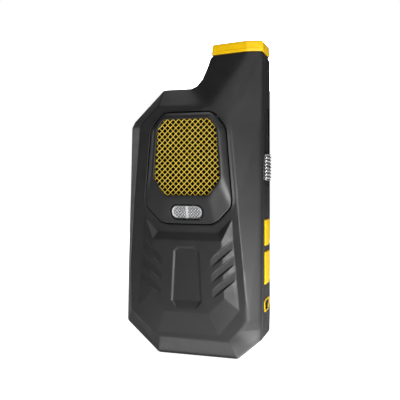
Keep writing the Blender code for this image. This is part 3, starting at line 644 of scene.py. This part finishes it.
def woven_cloth(name, colour):
    """Acoustic cloth with a fine weave."""
    made = Shader(name, Roughness=0.95, Specular_IOR_Level=0.1)
    sockets = {"Scale": 1.0 / (pi * 0.12 * MM), "Vector": made.where}
    threads = [made.node("ShaderNodeTexWave", sockets, wave_type="BANDS",
                         bands_direction=direction).outputs["Fac"] for direction in ("X", "Z")]
    weave = made.joined(*threads, "MAXIMUM")
    made.out("Base Color", made.mixed(weave, shade(colour, 0.5), colour))
    made.out("Normal", made.bump(weave, 0.05 * MM))


def circuit(name):
    """Green circuit board with pale tracks."""
    made = Shader(name, Roughness=0.45)
    tracks = made.node("ShaderNodeTexBrick", {
        "Scale": 260.0, "Vector": made.where, "Color1": (0.02, 0.12, 0.05, 1),
        "Color2": (0.03, 0.16, 0.07, 1), "Mortar": (0.35, 0.30, 0.12, 1)})
    made.out("Base Color", tracks.outputs["Color"])
    made.out("Normal", made.bump(tracks.outputs["Fac"], 0.03 * MM))


moulded("case_plastic", (0.009, 0.009, 0.0094), 0.42, wear=1.8)
# A lighter, less glossy copy of the casing plastic for the side walls: painted light
moulded("side_wall_painted_light", (0.012, 0.012, 0.0125), 0.45, wear=1.8, Specular_IOR_Level=0.12)
moulded("pod_plastic", (0.010, 0.010, 0.0105), 0.38, grain_depth=0.006 * MM, wear=1.8)
moulded("yellow_plastic", (0.88, 0.53, 0.002), 0.40, wear=1.0, spread=0.04, grain_depth=0.006 * MM,
        Specular_IOR_Level=0.3)
# A darker, less glossy copy of the yellow plastic for the side buttons and the port ring: painted shade
moulded("button_plastic", (0.70, 0.45, 0.001), 0.45, wear=1.0, spread=0.04, grain_depth=0.006 * MM,
        Specular_IOR_Level=0.1)
# Darkened metal for the socket's mouth: painted shade inside the port
metal("socket_metal_painted_shade", (0.05, 0.05, 0.052), 0.5)
metal("gold_mesh", (1.0, 0.60, 0.012), 0.40, metallic=0.2)
# A paler, glossier copy of the gold mesh for the rising wires: painted highlight
metal("gold_mesh_painted_highlight", (1.0, 0.80, 0.14), 0.28, metallic=0.3)
metal("chrome", (0.62, 0.62, 0.64), 0.16)
metal("steel", (0.55, 0.55, 0.56), 0.32)
metal("copper", (0.80, 0.38, 0.18), 0.28)
moulded("seal_rubber", (0.012, 0.012, 0.012), 0.80, wear=1.0)
moulded("key_rubber", (0.048, 0.048, 0.050), 0.62, grain=0.25 * MM, wear=1.3)
circuit("circuit_board")
moulded("ceramic", (0.72, 0.66, 0.52), 0.50, wear=1.0, spread=0.04)
moulded("battery_wrap", (0.10, 0.16, 0.30), 0.38, wear=1.0)
moulded("display_glass", (0.016, 0.018, 0.020), 0.08, grain=2 * MM, grain_depth=0.001 * MM, wear=1.0,
        Coat_Weight=0.6, Coat_Roughness=0.03)
# Lens colours: painted shade in the facets' valleys, painted highlight on their tops, bar and ends
prismatic("lamp_lens_clear", (0.03, 0.03, 0.032), (0.56, 0.57, 0.58))
moulded("led_white", (0.95, 0.93, 0.80), 0.30, wear=1.0, spread=0.03)
woven_cloth("speaker_cloth", (0.003, 0.003, 0.003))
moulded("cone_paper", (0.06, 0.055, 0.05), 0.80, wear=1.0)


def dress_frame():
    """Give every carried-over CAD node its procedural material."""
    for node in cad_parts.values():
        for place in node.material_slots:
            slot = place.material.name.split(".")[0]
            if slot in FINISHES:
                place.material = FINISHES[slot]


# --------------------------------------------------------------------- casing
CASE_LOOP = even_loop(rounded_loop(slice_loops("rear_shell", 1, CASE_SLICE_Y)[0], CASE_ROUNDING), 0.6 * MM)
POD_LOOP = even_loop(rounded_loop(slice_loops("speaker_pod", 1, POD_FACE_Y + 4.4 * MM)[0], POD_ROUNDING),
                     0.5 * MM)
STUB_TOP_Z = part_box("rear_shell")[1].z
SIDE_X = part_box("rear_shell")[1].x


def rim_radius(x, z):
    """Edge radius of the casing: full on the body, smaller up the stub, sharp below the cap."""
    heights = np.array([0, 118, 138, 152.5, 154.6]) * MM
    radii = np.array([1.6, 1.6, 0.8, 0.8, 0.12]) * MM
    return np.interp(z, heights, radii)


def near_stub(x, z):
    """How much of the wide easing each place takes: all of it where the stub leaves the body."""
    return smooth_step(z, 112 * MM, 124 * MM) * smooth_step(x, -8 * MM, 4 * MM)


def near_foot(x, z):
    """How much of the corner easing each place takes: all of it at the lower right corner."""
    return smooth_step(x, 24 * MM, 28 * MM) * (1 - smooth_step(z, 25 * MM, 32 * MM))


def grip_casing():
    """The grip shell's face around the pod, with its facets, ribs and sunk plate."""
    opening = shifted(POD_LOOP, -SEAM_GAP)
    relief = Relief("rear_shell", -1, 0.2 * MM, 0.5 * MM, holes=[shifted(opening, -0.6 * MM)])
    relief.ease(2.4 * MM, near_stub).ease(0.8 * MM, near_foot)
    relief.ease(0.2 * MM).finish()
    panel = (np.array((-30 * MM, 11 * MM)), np.array((28 * MM, 74 * MM)), 0.21 * MM)
    piece = skin("grip_casing", "case_plastic", CASE_LOOP, [opening], relief, to_rear,
                 0.6 * MM, rim_radius, 0.3 * MM, skirt=0.8 * MM, hole_skirt=2.4 * MM, fine=panel)
    add(piece, "casing", "case_plastic", "rear_shell")
    return relief


def side_cutter(name, outline, low_x):
    """A plain prism along X from an outline of (y, z), for a Boolean cut through the side wall."""
    count = len(outline)
    high_x = SIDE_X + 3 * MM
    points = [(x, y, z) for x in (low_x, high_x) for y, z in outline]
    ends = [tuple(range(count))[::-1], tuple(range(count, 2 * count))]
    return build_piece(name, points, ends + tube_faces(count, 2), "side_wall_painted_light", smooth=False)


def cut(item, cutters):
    """Cut several solids from a mesh, apply the result and remove the solids."""
    for cutter in cutters:
        step = item.modifiers.new(cutter.name, "BOOLEAN")
        step.operation = "DIFFERENCE"
        step.solver = "EXACT"
        step.object = cutter
    bpy.context.view_layer.update()
    solid = item.evaluated_get(bpy.context.evaluated_depsgraph_get())
    mesh = bpy.data.meshes.new_from_object(solid)
    old = item.data
    item.modifiers.clear()
    item.data = mesh
    bpy.data.meshes.remove(old)
    for cutter in cutters:
        bpy.data.objects.remove(cutter, do_unlink=True)


def wall_band(relief):
    """A closed band behind the grip skin's rim, down to the seam between the shells."""
    outer = shifted(CASE_LOOP, WALL_INSET)
    inner = shifted(CASE_LOOP, WALL_THICKNESS)
    spots = np.array(CASE_LOOP)
    radius = rim_radius(spots[:, 0], spots[:, 1])
    top = -relief(spots[:, 0], spots[:, 1]) + radius + 0.3 * MM
    rows = 4
    points = []
    for step in range(rows + 1):
        part = step / rows
        points += [(x, y + (REAR_BACK_Y - y) * part, z) for (x, z), y in zip(outer, top)]
    points += [(x, REAR_BACK_Y, z) for x, z in inner]
    points += [(x, y, z) for (x, z), y in zip(inner, top)]
    faces = [(a, d, c, b) for a, b, c, d in tube_faces(len(outer), rows + 3, closed=True)]
    # The side walls take the lighter copy of the casing plastic: painted light
    return build_piece("casing_wall", points, faces, "side_wall_painted_light")


def side_openings():
    """Cutters for the buttons, the port, the slider's slot and the pocket around the slider."""
    deep_x = SIDE_X - 6 * MM
    cutters = []
    for label in ("upper", "lower"):
        outline = slice_loops("side_button_" + label, 0, SIDE_X - 0.6 * MM)[0]
        cutters.append(side_cutter("cut_" + label, shifted(outline, -BUTTON_GAP), deep_x))
    bezel = slice_loops("port_bezel", 0, SIDE_X)[0]
    cutters.append(side_cutter("cut_port", shifted(bezel, -BUTTON_GAP), deep_x))
    low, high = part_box("slide_guide")
    slot = rounded_box((low.y + 0.6 * MM, low.z + 0.6 * MM), (high.y - 1.4 * MM, high.z - 0.6 * MM),
                       1 * MM)
    cutters.append(side_cutter("cut_slot", slot, deep_x))
    knob_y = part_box("slide_knob")[0].y
    back_y = REAR_BACK_Y + 1 * MM
    pocket = [(knob_y - 1.4 * MM, low.z - 2.5 * MM), (back_y, low.z - 3.5 * MM),
              (back_y, high.z + 2.5 * MM), (knob_y - 0.5 * MM, high.z + 1.8 * MM)]
    cutters.append(side_cutter("cut_pocket", pocket, SIDE_X - 1.2 * MM))
    return cutters


def casing_wall(relief):
    """The side walls of the grip shell, with the openings for the side controls."""
    wall = wall_band(relief)
    cut(wall, side_openings())
    wall.data.shade_smooth()
    wall.data.set_sharp_from_angle(angle=radians(30))
    add(wall, "casing", "case_plastic")


def display_casing():
    """The display-side shell with its window, keys' holes and screw holes."""
    outer_rough = slice_loops("front_shell", 1, REAR_BACK_Y + 1.4 * MM)[0]
    loops = slice_loops("front_shell", 1, FRONT_FACE_Y - 0.4 * MM)
    outer = even_loop(rounded_loop(outer_rough, CASE_ROUNDING), 0.8 * MM)
    holes = [even_loop(rounded_loop(loop, 0.6 * MM, 3), 0.5 * MM) for loop in loops[1:]]
    relief = Relief("front_shell", 1, 0.4 * MM, REAR_BACK_Y,
                    holes=[shifted(hole, -0.4 * MM) for hole in holes])
    relief.ease(0.6 * MM).finish()
    piece = skin("display_casing", "case_plastic", outer, holes, relief, to_front,
                 0.9 * MM, 0.8 * MM, 0.35 * MM, skirt=1.0 * MM, hole_skirt=1.6 * MM)
    add(piece, "casing", "case_plastic", "front_shell")


# ---------------------------------------------------------------- speaker pod
def speaker_bezel():
    """The raised pod's face with its openings for the grille and the lamp."""
    lens = even_loop(slice_loops("lamp_lens", 1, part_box("lamp_lens")[1].y - 1 * MM)[0], 0.4 * MM)
    lens_hole = shifted(lens, -0.45 * MM)
    mesh_rough = slice_loops("speaker_pod", 1, POD_FACE_Y + 0.6 * MM)[1]
    mesh_hole = even_loop(rounded_loop(mesh_rough, MESH_ROUNDING), 0.4 * MM)
    relief = Relief("speaker_pod", -1, 0.25 * MM, POD_FACE_Y + 6 * MM,
                    holes=[shifted(mesh_hole, -0.3 * MM), shifted(lens_hole, -0.3 * MM)])
    relief.ease(0.9 * MM).finish()
    piece = skin("speaker_bezel", "pod_plastic", POD_LOOP, [mesh_hole, lens_hole], relief,
                 to_rear, 0.4 * MM, 0.45 * MM, 0.3 * MM, skirt=2.2 * MM, hole_skirt=1.6 * MM)
    add(piece, "casing", "pod_plastic", "speaker_pod")
    return relief, mesh_hole, lens


def wire_family(label, finish, family, border):
    """Parallel wires at 45 degrees, cut to the border; family is 1 or -1, for over or under."""
    low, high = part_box("grille_mesh")
    middle_y = (low.y + high.y) / 2
    centre = Vector(((low.x + high.x) / 2, (low.z + high.z) / 2))
    along = Vector((1, family)).normalized()
    across = Vector((-along.y, along.x))
    curve = bpy.data.curves.new("woven_wires_" + label, "CURVE")
    curve.dimensions = "3D"
    curve.bevel_depth = WIRE_RADIUS
    curve.bevel_resolution = 2
    reach = int(45 * MM / WIRE_SPACING)
    steps = range(-reach * 4, reach * 4 + 1)
    for line in range(-reach, reach + 1):
        start = centre + across * (line * WIRE_SPACING)
        places = [start + along * (step * (WIRE_SPACING / 4)) for step in steps]
        inside = within(np.array([tuple(place) for place in places]), border)
        run = [(step, place) for step, place, kept in zip(steps, places, inside) if kept]
        if len(run) < 3:
            continue
        spline = curve.splines.new("POLY")
        spline.points.add(len(run) - 1)
        for spot, (step, place) in zip(spline.points, run):
            wave = family * WIRE_RADIUS * 0.95 * cos(pi * (step / 4 + line))
            spot.co = (place.x, middle_y - wave, place.y, 1.0)
    curve.materials.append(FINISHES[finish])
    item = bpy.data.objects.new("woven_wires_" + label, curve)
    bpy.context.scene.collection.objects.link(item)
    add(item, "casing", "gold_mesh", "grille_mesh")


def woven_grille(mesh_hole):
    """Two families of wires that pass over and under each other; the rising ones take a paler copy of the
    gold as a painted highlight.
    """
    border = shifted(mesh_hole, -0.5 * MM)
    wire_family("rising", "gold_mesh_painted_highlight", 1, border)
    wire_family("falling", "gold_mesh", -1, border)


def prism_height(u, v):
    """Rows of small rounded pyramids set on the diagonal, 0 to 1."""
    first = (u + v) / PRISM_PITCH / 2 ** 0.5
    second = (u - v) / PRISM_PITCH / 2 ** 0.5
    return (0.5 + 0.5 * np.cos(2 * pi * first)) * (0.5 + 0.5 * np.cos(2 * pi * second))


def lamp_lens(relief, lens):
    """Two prismatic cells with a plain bar between them; the facet tops and the bar get painted highlights,
    the left end a painted reflection and the right end a painted highlight.
    """
    middle, half = middle_and_half(lens)
    outline = shifted(lens, LAMP_RIM * 0.8)

    def border(u, v):
        return distance_to(np.stack([u, v], 1), outline)

    def off_bar(u):
        return smooth_step(np.abs(u - middle[0]), LENS_BAR_HALF, LENS_BAR_HALF + 0.3 * MM)

    def face(u, v):
        cells = smooth_step(border(u, v), 0.2 * MM, 0.5 * MM) * off_bar(u)
        pattern = prism_height(u - middle[0], v - middle[1])
        return relief(u, v) - LENS_SINK + (pattern - 1) * PRISM_RISE * cells

    def painted_highlights(u, v):
        # Painted light for the lens colour: lighter facet tops over darker valleys, and a light bar
        painted_facet_light = 0.25 + 0.6 * prism_height(u - middle[0], v - middle[1])
        # A painted reflection of a chrome crescent at the left end
        left_painted_reflection = smooth_step(middle[0] - u, half[0] - 3.0 * MM, half[0] - 2.2 * MM)
        left_painted_reflection *= 1 - smooth_step(border(u, v), 0.6 * MM, 1.0 * MM)
        # A painted highlight at the right end
        right_painted_highlight = smooth_step(u - middle[0], half[0] - 2.2 * MM, half[0] - 1.4 * MM)
        right_painted_highlight *= 1 - smooth_step(border(u, v), 0.5 * MM, 0.9 * MM)
        return np.maximum.reduce([painted_facet_light, 0.85 * (1 - off_bar(u)), left_painted_reflection, right_painted_highlight])

    piece = skin("lamp_prism_lens", "lamp_lens_clear", outline, [], face, to_rear,
                 0.12 * MM, 0.2 * MM, skirt=1.2 * MM, paint=painted_highlights)
    add(piece, "casing", "lamp_lens_clear", "lamp_lens")


def lamp_rim(relief, lens):
    """A black rim around the lamp's window, which paints the shade of the gap between the lens and the
    bezel.
    """
    def face(u, v):
        return relief(u, v) - LAMP_RIM_SINK

    # Black rubber rim: painted shade for the gap around the lens
    piece = skin("lamp_shade_rim", "seal_rubber", lens, [shifted(lens, LAMP_RIM)], face,
                 to_rear, 0.3 * MM, 0.35 * MM, 0.35 * MM, skirt=1.2 * MM, hole_skirt=0.6 * MM)
    add(piece, "casing", "seal_rubber")


def lamp_reflector(lens):
    """The pebbled reflector behind the window."""
    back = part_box("lamp_lens")[1].y

    def dish(u, v):
        return 1.1 * MM - back + prism_height(u, v) * PRISM_RISE

    piece = skin("lamp_pebbled_reflector", "chrome", shifted(lens, 0.5 * MM), [], dish,
                 to_rear, 0.25 * MM, 0.2 * MM, skirt=0.6 * MM)
    add(piece, "casing", "chrome")


# ------------------------------------------------------------------------ cap
def stacked(name, finish, loop, levels):
    """Rings of one outline at several heights: levels are (inset, z). The ends are closed."""
    count = len(loop)
    points = [(x, y, z) for inward, z in levels for x, y in shifted(loop, inward)]
    bottom = tuple(range(count))[::-1]
    top = tuple(range(len(points) - count, len(points)))
    item = build_piece(name, points, [bottom, *tube_faces(count, len(levels)), top], finish)
    item.data.set_sharp_from_angle(angle=radians(32))
    return item


def cap_piece():
    """The yellow cap with its rounded top and foot, and a dark seal below it."""
    base_z = STUB_TOP_Z + 0.35 * MM
    loop = slice_loops("antenna_cap", 2, base_z + 0.6 * MM)[0]
    outline = even_loop(rounded_loop(loop, CAP_ROUNDING), 0.7 * MM)
    edge_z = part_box("antenna_cap")[1].z - CAP_EDGE
    levels = [(0.5 * MM, base_z), (0.12 * MM, base_z + 0.08 * MM), (0.02 * MM, base_z + 0.3 * MM),
              (0.02 * MM, base_z + 1.5 * MM), (0.22 * MM, base_z + 1.7 * MM)]
    for degrees in (0, 15, 30, 45, 60, 75, 88):
        angle = radians(degrees)
        levels.append((0.22 * MM + CAP_EDGE * (1 - cos(angle)), edge_z + CAP_EDGE * sin(angle)))
    levels.append((2.8 * MM, edge_z + CAP_EDGE))
    piece = stacked("antenna_cap_moulding", "yellow_plastic", outline, levels)
    add(piece, "casing", "yellow_plastic", "antenna_cap")
    seal_levels = [(0.75 * MM, STUB_TOP_Z - 0.05 * MM), (0.75 * MM, base_z + 0.1 * MM)]
    add(stacked("cap_seal", "seal_rubber", outline, seal_levels), "casing", "seal_rubber")


# -------------------------------------------------------------- side controls
def side_button(label):
    """Slightly crowned cap of one side button, in a darker copy of the yellow plastic: painted shade."""
    node = "side_button_" + label
    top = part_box(node)[1].x
    loop = slice_loops(node, 0, top - 0.3 * MM)[0]
    outline = even_loop(rounded_loop(loop, 0.8 * MM, 4), 0.4 * MM)
    middle, half = middle_and_half(outline)

    def crown(u, v):
        away = ((u - middle[0]) / half[0]) ** 2 + ((v - middle[1]) / half[1]) ** 2
        return top - BUTTON_CROWN * away

    piece = skin("button_%s_cap" % label, "button_plastic", outline, [], crown, to_side,
                 0.5 * MM, 0.55 * MM, skirt=3.0 * MM)
    add(piece, node, "yellow_plastic", node)


def slide_knob():
    """The knurled slider, with a hole for its index dot."""
    low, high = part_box("slide_knob")
    pin_low, pin_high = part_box("slide_index_pin")
    pin, pin_half = middle_and_half([(pin_low.y, pin_low.z), (pin_high.y, pin_high.z)])
    face_x = pin_high.x - 0.35 * MM
    middle_z = (low.z + high.z) / 2
    outline = even_loop(rounded_box((low.y, low.z), (high.y, high.z), 1.2 * MM), 0.3 * MM)

    def knurled(u, v):
        ridge = 0.5 + 0.5 * np.cos(2 * pi * (v - middle_z) / KNURL_PITCH)
        clear_of_pin = smooth_step(np.hypot(u - pin[0], v - pin[1]), 1.3 * MM, 1.9 * MM)
        return face_x - KNURL_DEPTH * (1 - ridge ** 0.7) * clear_of_pin

    hole = ring(pin, pin_half[1] + 0.15 * MM, 28)
    piece = skin("slide_knob_knurled", "chrome", outline, [hole], knurled, to_side,
                 0.22 * MM, 0.35 * MM, 0.15 * MM, skirt=1.1 * MM, hole_skirt=0.6 * MM)
    add(piece, "slide_switch", "chrome", "slide_knob")


def slide_dot():
    """The slightly domed index dot in the slider."""
    low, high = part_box("slide_index_pin")
    pin, half = middle_and_half([(low.y, low.z), (high.y, high.z)])

    def dome(u, v):
        return high.x - 0.2 * MM * (np.hypot(u - pin[0], v - pin[1]) / (0.9 * MM)) ** 2

    outline = even_loop(ring(pin, half[1] - 0.05 * MM, 28), 0.3 * MM)
    piece = skin("slide_index_dot", "seal_rubber", outline, [], dome, to_side, 0.2 * MM,
                 0.15 * MM, skirt=0.8 * MM)
    add(piece, "slide_switch", "seal_rubber", "slide_index_pin")


def port_ring():
    """Slanted yellow ring, a black lining inside it and the darkened metal mouth of the socket: the lining
    and the mouth are painted shade.
    """
    low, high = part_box("port_bezel")
    loops = slice_loops("port_bezel", 0, (low.x + high.x) / 2)
    outer = even_loop(rounded_loop(loops[0], 0.7 * MM, 4), 0.35 * MM)
    opening = shifted(outer, PORT_RING_WIDTH)
    socket = even_loop(loops[1], 0.3 * MM)
    lining_x = high.x - PORT_LINING_SINK
    reach = lining_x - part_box("usb_connector")[1].x + 0.1 * MM
    # The ring takes the darker copy of the yellow plastic: painted shade
    piece = skin("port_ring", "button_plastic", outer, [opening], flat_face(high.x), to_side,
                 0.3 * MM, 0.3 * MM, 0.15 * MM, skirt=2.0 * MM, hole_skirt=0.6 * MM)
    add(piece, "casing", "yellow_plastic", "port_bezel")
    # A black lining inside the ring: painted shade for the shaded inside of the port
    lining = skin("port_shade_lining", "seal_rubber", shifted(outer, PORT_RING_WIDTH - 0.2 * MM),
                  [socket], flat_face(lining_x), to_side, 0.3 * MM, 0.05 * MM, 0.05 * MM,
                  skirt=0.4 * MM, hole_skirt=reach)
    add(lining, "casing", "seal_rubber")
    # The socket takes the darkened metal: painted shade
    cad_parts["usb_connector"].material_slots[0].material = FINISHES["socket_metal_painted_shade"]


# --------------------------------------------------------------- display side
KEYS = ("menu_key", "page_key", "back_key", "mark_key", "enter_key", "zoom_in_key", "zoom_out_key")


def key_marks(name, centre):
    """Simple raised marks for a key: polygons of (x, z), seen from the display side."""
    x, z = centre
    wide = 1.9 * MM
    thin = 0.35 * MM

    def bar(up):
        low = z + up - thin / 2
        return [(x - wide, low), (x + wide, low), (x + wide, low + thin), (x - wide, low + thin)]

    def arrow(side):
        return [(x - wide * 0.7, z - side * 0.7 * MM), (x + wide * 0.7, z - side * 0.7 * MM),
                (x, z + side * 0.9 * MM)]

    if name == "menu_key":
        return [bar(up * MM) for up in (-0.9, 0.0, 0.9)]
    if name == "page_key":
        return [bar(up * MM) for up in (-0.7, 0.7)]
    if name == "back_key":
        return [[(x + 0.9 * MM, z), (x - 0.7 * MM, z + 1.2 * MM), (x - 0.7 * MM, z - 1.2 * MM)]]
    if name == "mark_key":
        return [[(x - 1.1 * MM, z), (x, z - 1.3 * MM), (x + 1.1 * MM, z), (x, z + 1.3 * MM)]]
    if name == "enter_key":
        return [ring((x, z), 1.2 * MM, 24)]
    return [arrow(1 if name == "zoom_in_key" else -1)]


def key_cap(name):
    """A dished key cap with its raised marks."""
    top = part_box(name)[1].y
    outline = even_loop(slice_loops(name, 1, top - 0.3 * MM)[0], 0.4 * MM)
    middle, half = middle_and_half(outline)

    def dished(u, v):
        away = np.clip(((u - middle[0]) / half[0]) ** 2 + ((v - middle[1]) / half[1]) ** 2, 0, 1)
        return top - KEY_SINK - KEY_DISH * (1 - away)

    def raised(u, v):
        return dished(u, v) + MARK_RISE

    piece = skin(name + "_cap", "key_rubber", outline, [], dished, to_front,
                 0.4 * MM, 0.5 * MM, skirt=2.4 * MM)
    add(piece, name, "key_rubber", name)
    for index, mark in enumerate(key_marks(name, tuple(middle)), start=1):
        mark = mark if signed_area(mark) > 0 else mark[::-1]
        mark = even_loop(rounded_loop(mark, 0.12 * MM, 3), 0.2 * MM)
        piece = skin("%s_mark_%d" % (name, index), "led_white", mark, [], raised, to_front,
                     0.25 * MM, 0.05 * MM, skirt=0.2 * MM)
        add(piece, name, "led_white")


def screw_head(index):
    """A low screw head with a cross recess, turned by its own angle."""
    node = "case_screw_%d" % index
    low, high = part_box(node)
    centre = ((low.x + high.x) / 2, (low.z + high.z) / 2)
    radius = (high.x - low.x) / 2
    angle = 0.4 * index

    def head(u, v):
        x = (u - centre[0]) * cos(angle) + (v - centre[1]) * sin(angle)
        z = (v - centre[1]) * cos(angle) - (u - centre[0]) * sin(angle)
        arm = np.minimum(np.abs(x), np.abs(z))
        reach = np.maximum(np.abs(x), np.abs(z))
        recess = 1 - smooth_step(arm, 0.16 * MM, 0.3 * MM)
        recess *= 1 - smooth_step(reach, 0.9 * MM, 1.2 * MM)
        crown = 0.15 * MM * (np.hypot(x, z) / radius) ** 2
        return high.y - crown - SCREW_RECESS * recess

    piece = skin("screw_head_%d" % index, "steel", ring(centre, radius, 40), [], head,
                 to_front, 0.12 * MM, 0.15 * MM, skirt=0.6 * MM)
    add(piece, "casing", "steel", node)


# --------------------------------------------------------------------- studio
def camera():
    """The camera that the constants at the top describe."""
    data = bpy.data.cameras.new("view_camera")
    data.lens = VIEW_LENS
    data.sensor_width = 36.0
    data.clip_start = 0.01
    item = bpy.data.objects.new("view_camera", data)
    forward = Vector((-sin(VIEW_YAW) * cos(VIEW_DROP), cos(VIEW_YAW) * cos(VIEW_DROP), -sin(VIEW_DROP)))
    item.location = AIM - forward * VIEW_DISTANCE
    item.rotation_euler = forward.to_track_quat("-Z", "Y").to_euler()
    bpy.context.scene.collection.objects.link(item)
    bpy.context.scene.camera = item


def soft_light(name, place, aim, size, power, seen=True):
    """A rectangular light; a card near the object is not seen itself."""
    data = bpy.data.lights.new(name, "AREA")
    data.shape = "RECTANGLE"
    data.size = size[0]
    data.size_y = size[1]
    data.energy = power
    item = bpy.data.objects.new(name, data)
    item.location = place
    item.rotation_euler = (Vector(aim) - Vector(place)).to_track_quat("-Z", "Y").to_euler()
    item.visible_camera = seen
    bpy.context.scene.collection.objects.link(item)


def around(azimuth, elevation, distance=0.7):
    """A place around the object: azimuth 0 is in front of the grip side, 90 beside the buttons."""
    turn = radians(azimuth)
    rise = radians(elevation)
    height = max(0.16, 0.08 + distance * sin(rise))
    return (distance * sin(turn) * cos(rise), -distance * cos(turn) * cos(rise), height)


def paper_floor():
    """A pale floor: white to look at, softer as light."""
    paper = Shader("studio_paper", Roughness=0.9, Emission_Color=(1.0, 1.0, 1.0, 1.0))
    seen = paper.node("ShaderNodeLightPath").outputs["Is Camera Ray"]
    paper.out("Emission Strength", paper.ranged(seen, FLOOR_GLOW, 0.9, 0.0, 1.0))
    grain = paper.ranged(paper.noise(0.2), 0.0, 1.0)
    paper.out("Base Color", paper.mixed(grain, (0.90, 0.90, 0.90), (0.94, 0.94, 0.94)))
    bm = bmesh.new()
    bmesh.ops.create_circle(bm, cap_ends=True, segments=96, radius=1.2)
    mesh = bpy.data.meshes.new("studio_floor")
    bm.to_mesh(mesh)
    bm.free()
    mesh.materials.append(paper.material)
    floor = bpy.data.objects.new("studio_floor", mesh)
    floor.location = (0.0, 0.0, -0.2 * MM)
    bpy.context.scene.collection.objects.link(floor)


def white_air():
    """Pale surroundings: white to look at, softer as light."""
    world = bpy.data.worlds.new("studio_air")
    bpy.context.scene.world = world
    world.use_nodes = True
    tree = world.node_tree
    ray = tree.nodes.new("ShaderNodeLightPath").outputs["Is Camera Ray"]
    strength = tree.nodes.new("ShaderNodeMapRange")
    strength.inputs["To Min"].default_value = AIR_LIGHT
    tree.links.new(ray, strength.inputs["Value"])
    light = tree.nodes["Background"]
    light.inputs["Color"].default_value = (1.0, 1.0, 1.0, 1.0)
    tree.links.new(strength.outputs["Result"], light.inputs["Strength"])


# Cards close to the object: name, place, aim, size and power
CARDS = (
    ("low_right_card", (0.13, -0.05, 0.004), (0.03, -0.01, 0.05), (0.14, 0.14), 0.13),
    ("corner_card", (0.075, -0.055, 0.003), (0.028, -0.004, 0.008), (0.07, 0.07), 0.028),
    ("floor_card", (0.058, -0.035, 0.001), (0.058, -0.035, 1.0), (0.05, 0.05), 0.035),
    ("side_floor_card", (0.06, -0.01, 0.001), (0.06, -0.01, 1.0), (0.05, 0.06), 0.005),
    ("front_floor_card", (0.0, -0.045, 0.001), (0.0, -0.045, 1.0), (0.08, 0.05), 0.008),
    ("under_corner_card", (0.031, -0.005, 0.0005), (0.031, -0.005, 1.0), (0.016, 0.018), 0.0021),
    ("lip_card", (0.002, -0.014, 0.0006), (0.002, -0.014, 1.0), (0.045, 0.012), 0.0022),
    ("near_front", (0.13, -0.21, 0.02), (0.0, 0.0, 0.04), (0.15, 0.05), 0.12),
)


def studio():
    """Plain soft light from all around on a pale floor."""
    bpy.context.scene.view_settings.view_transform = "Standard"
    paper_floor()
    white_air()
    middle = (0.0, 0.0, 0.08)
    wide = (0.4, 0.3)
    for name, place, aim, size, power in CARDS:
        soft_light(name, place, aim, size, power, False)
    soft_light("low_front", (0.24, -0.42, 0.05), (0.0, 0.0, 0.06), (0.25, 0.10), 1.2)
    soft_light("low_right", around(60, 5), middle, (0.3, 0.25), 0.15)
    soft_light("low_left", around(-100, 5), middle, wide, 0.5)
    soft_light("middle_front", around(10, 35), middle, wide, 0.6)
    soft_light("high_right", around(60, 62), middle, wide, 0.4)
    soft_light("display_side", around(200, 25), middle, wide, 1.5)
    soft_light("overhead", (0.0, 0.25, 1.0), (0.0, 0.1, 0.0), (0.6, 0.5), 2.2)


dress_frame()
case_relief = grip_casing()
casing_wall(case_relief)
display_casing()
pod_relief, mesh_opening, lens_outline = speaker_bezel()
woven_grille(mesh_opening)
lamp_lens(pod_relief, lens_outline)
lamp_rim(pod_relief, lens_outline)
lamp_reflector(lens_outline)
cap_piece()
for side_label in ("upper", "lower"):
    side_button(side_label)
slide_knob()
slide_dot()
port_ring()
for key_name in KEYS:
    key_cap(key_name)
for screw_index in range(1, 5):
    screw_head(screw_index)
camera()
studio()
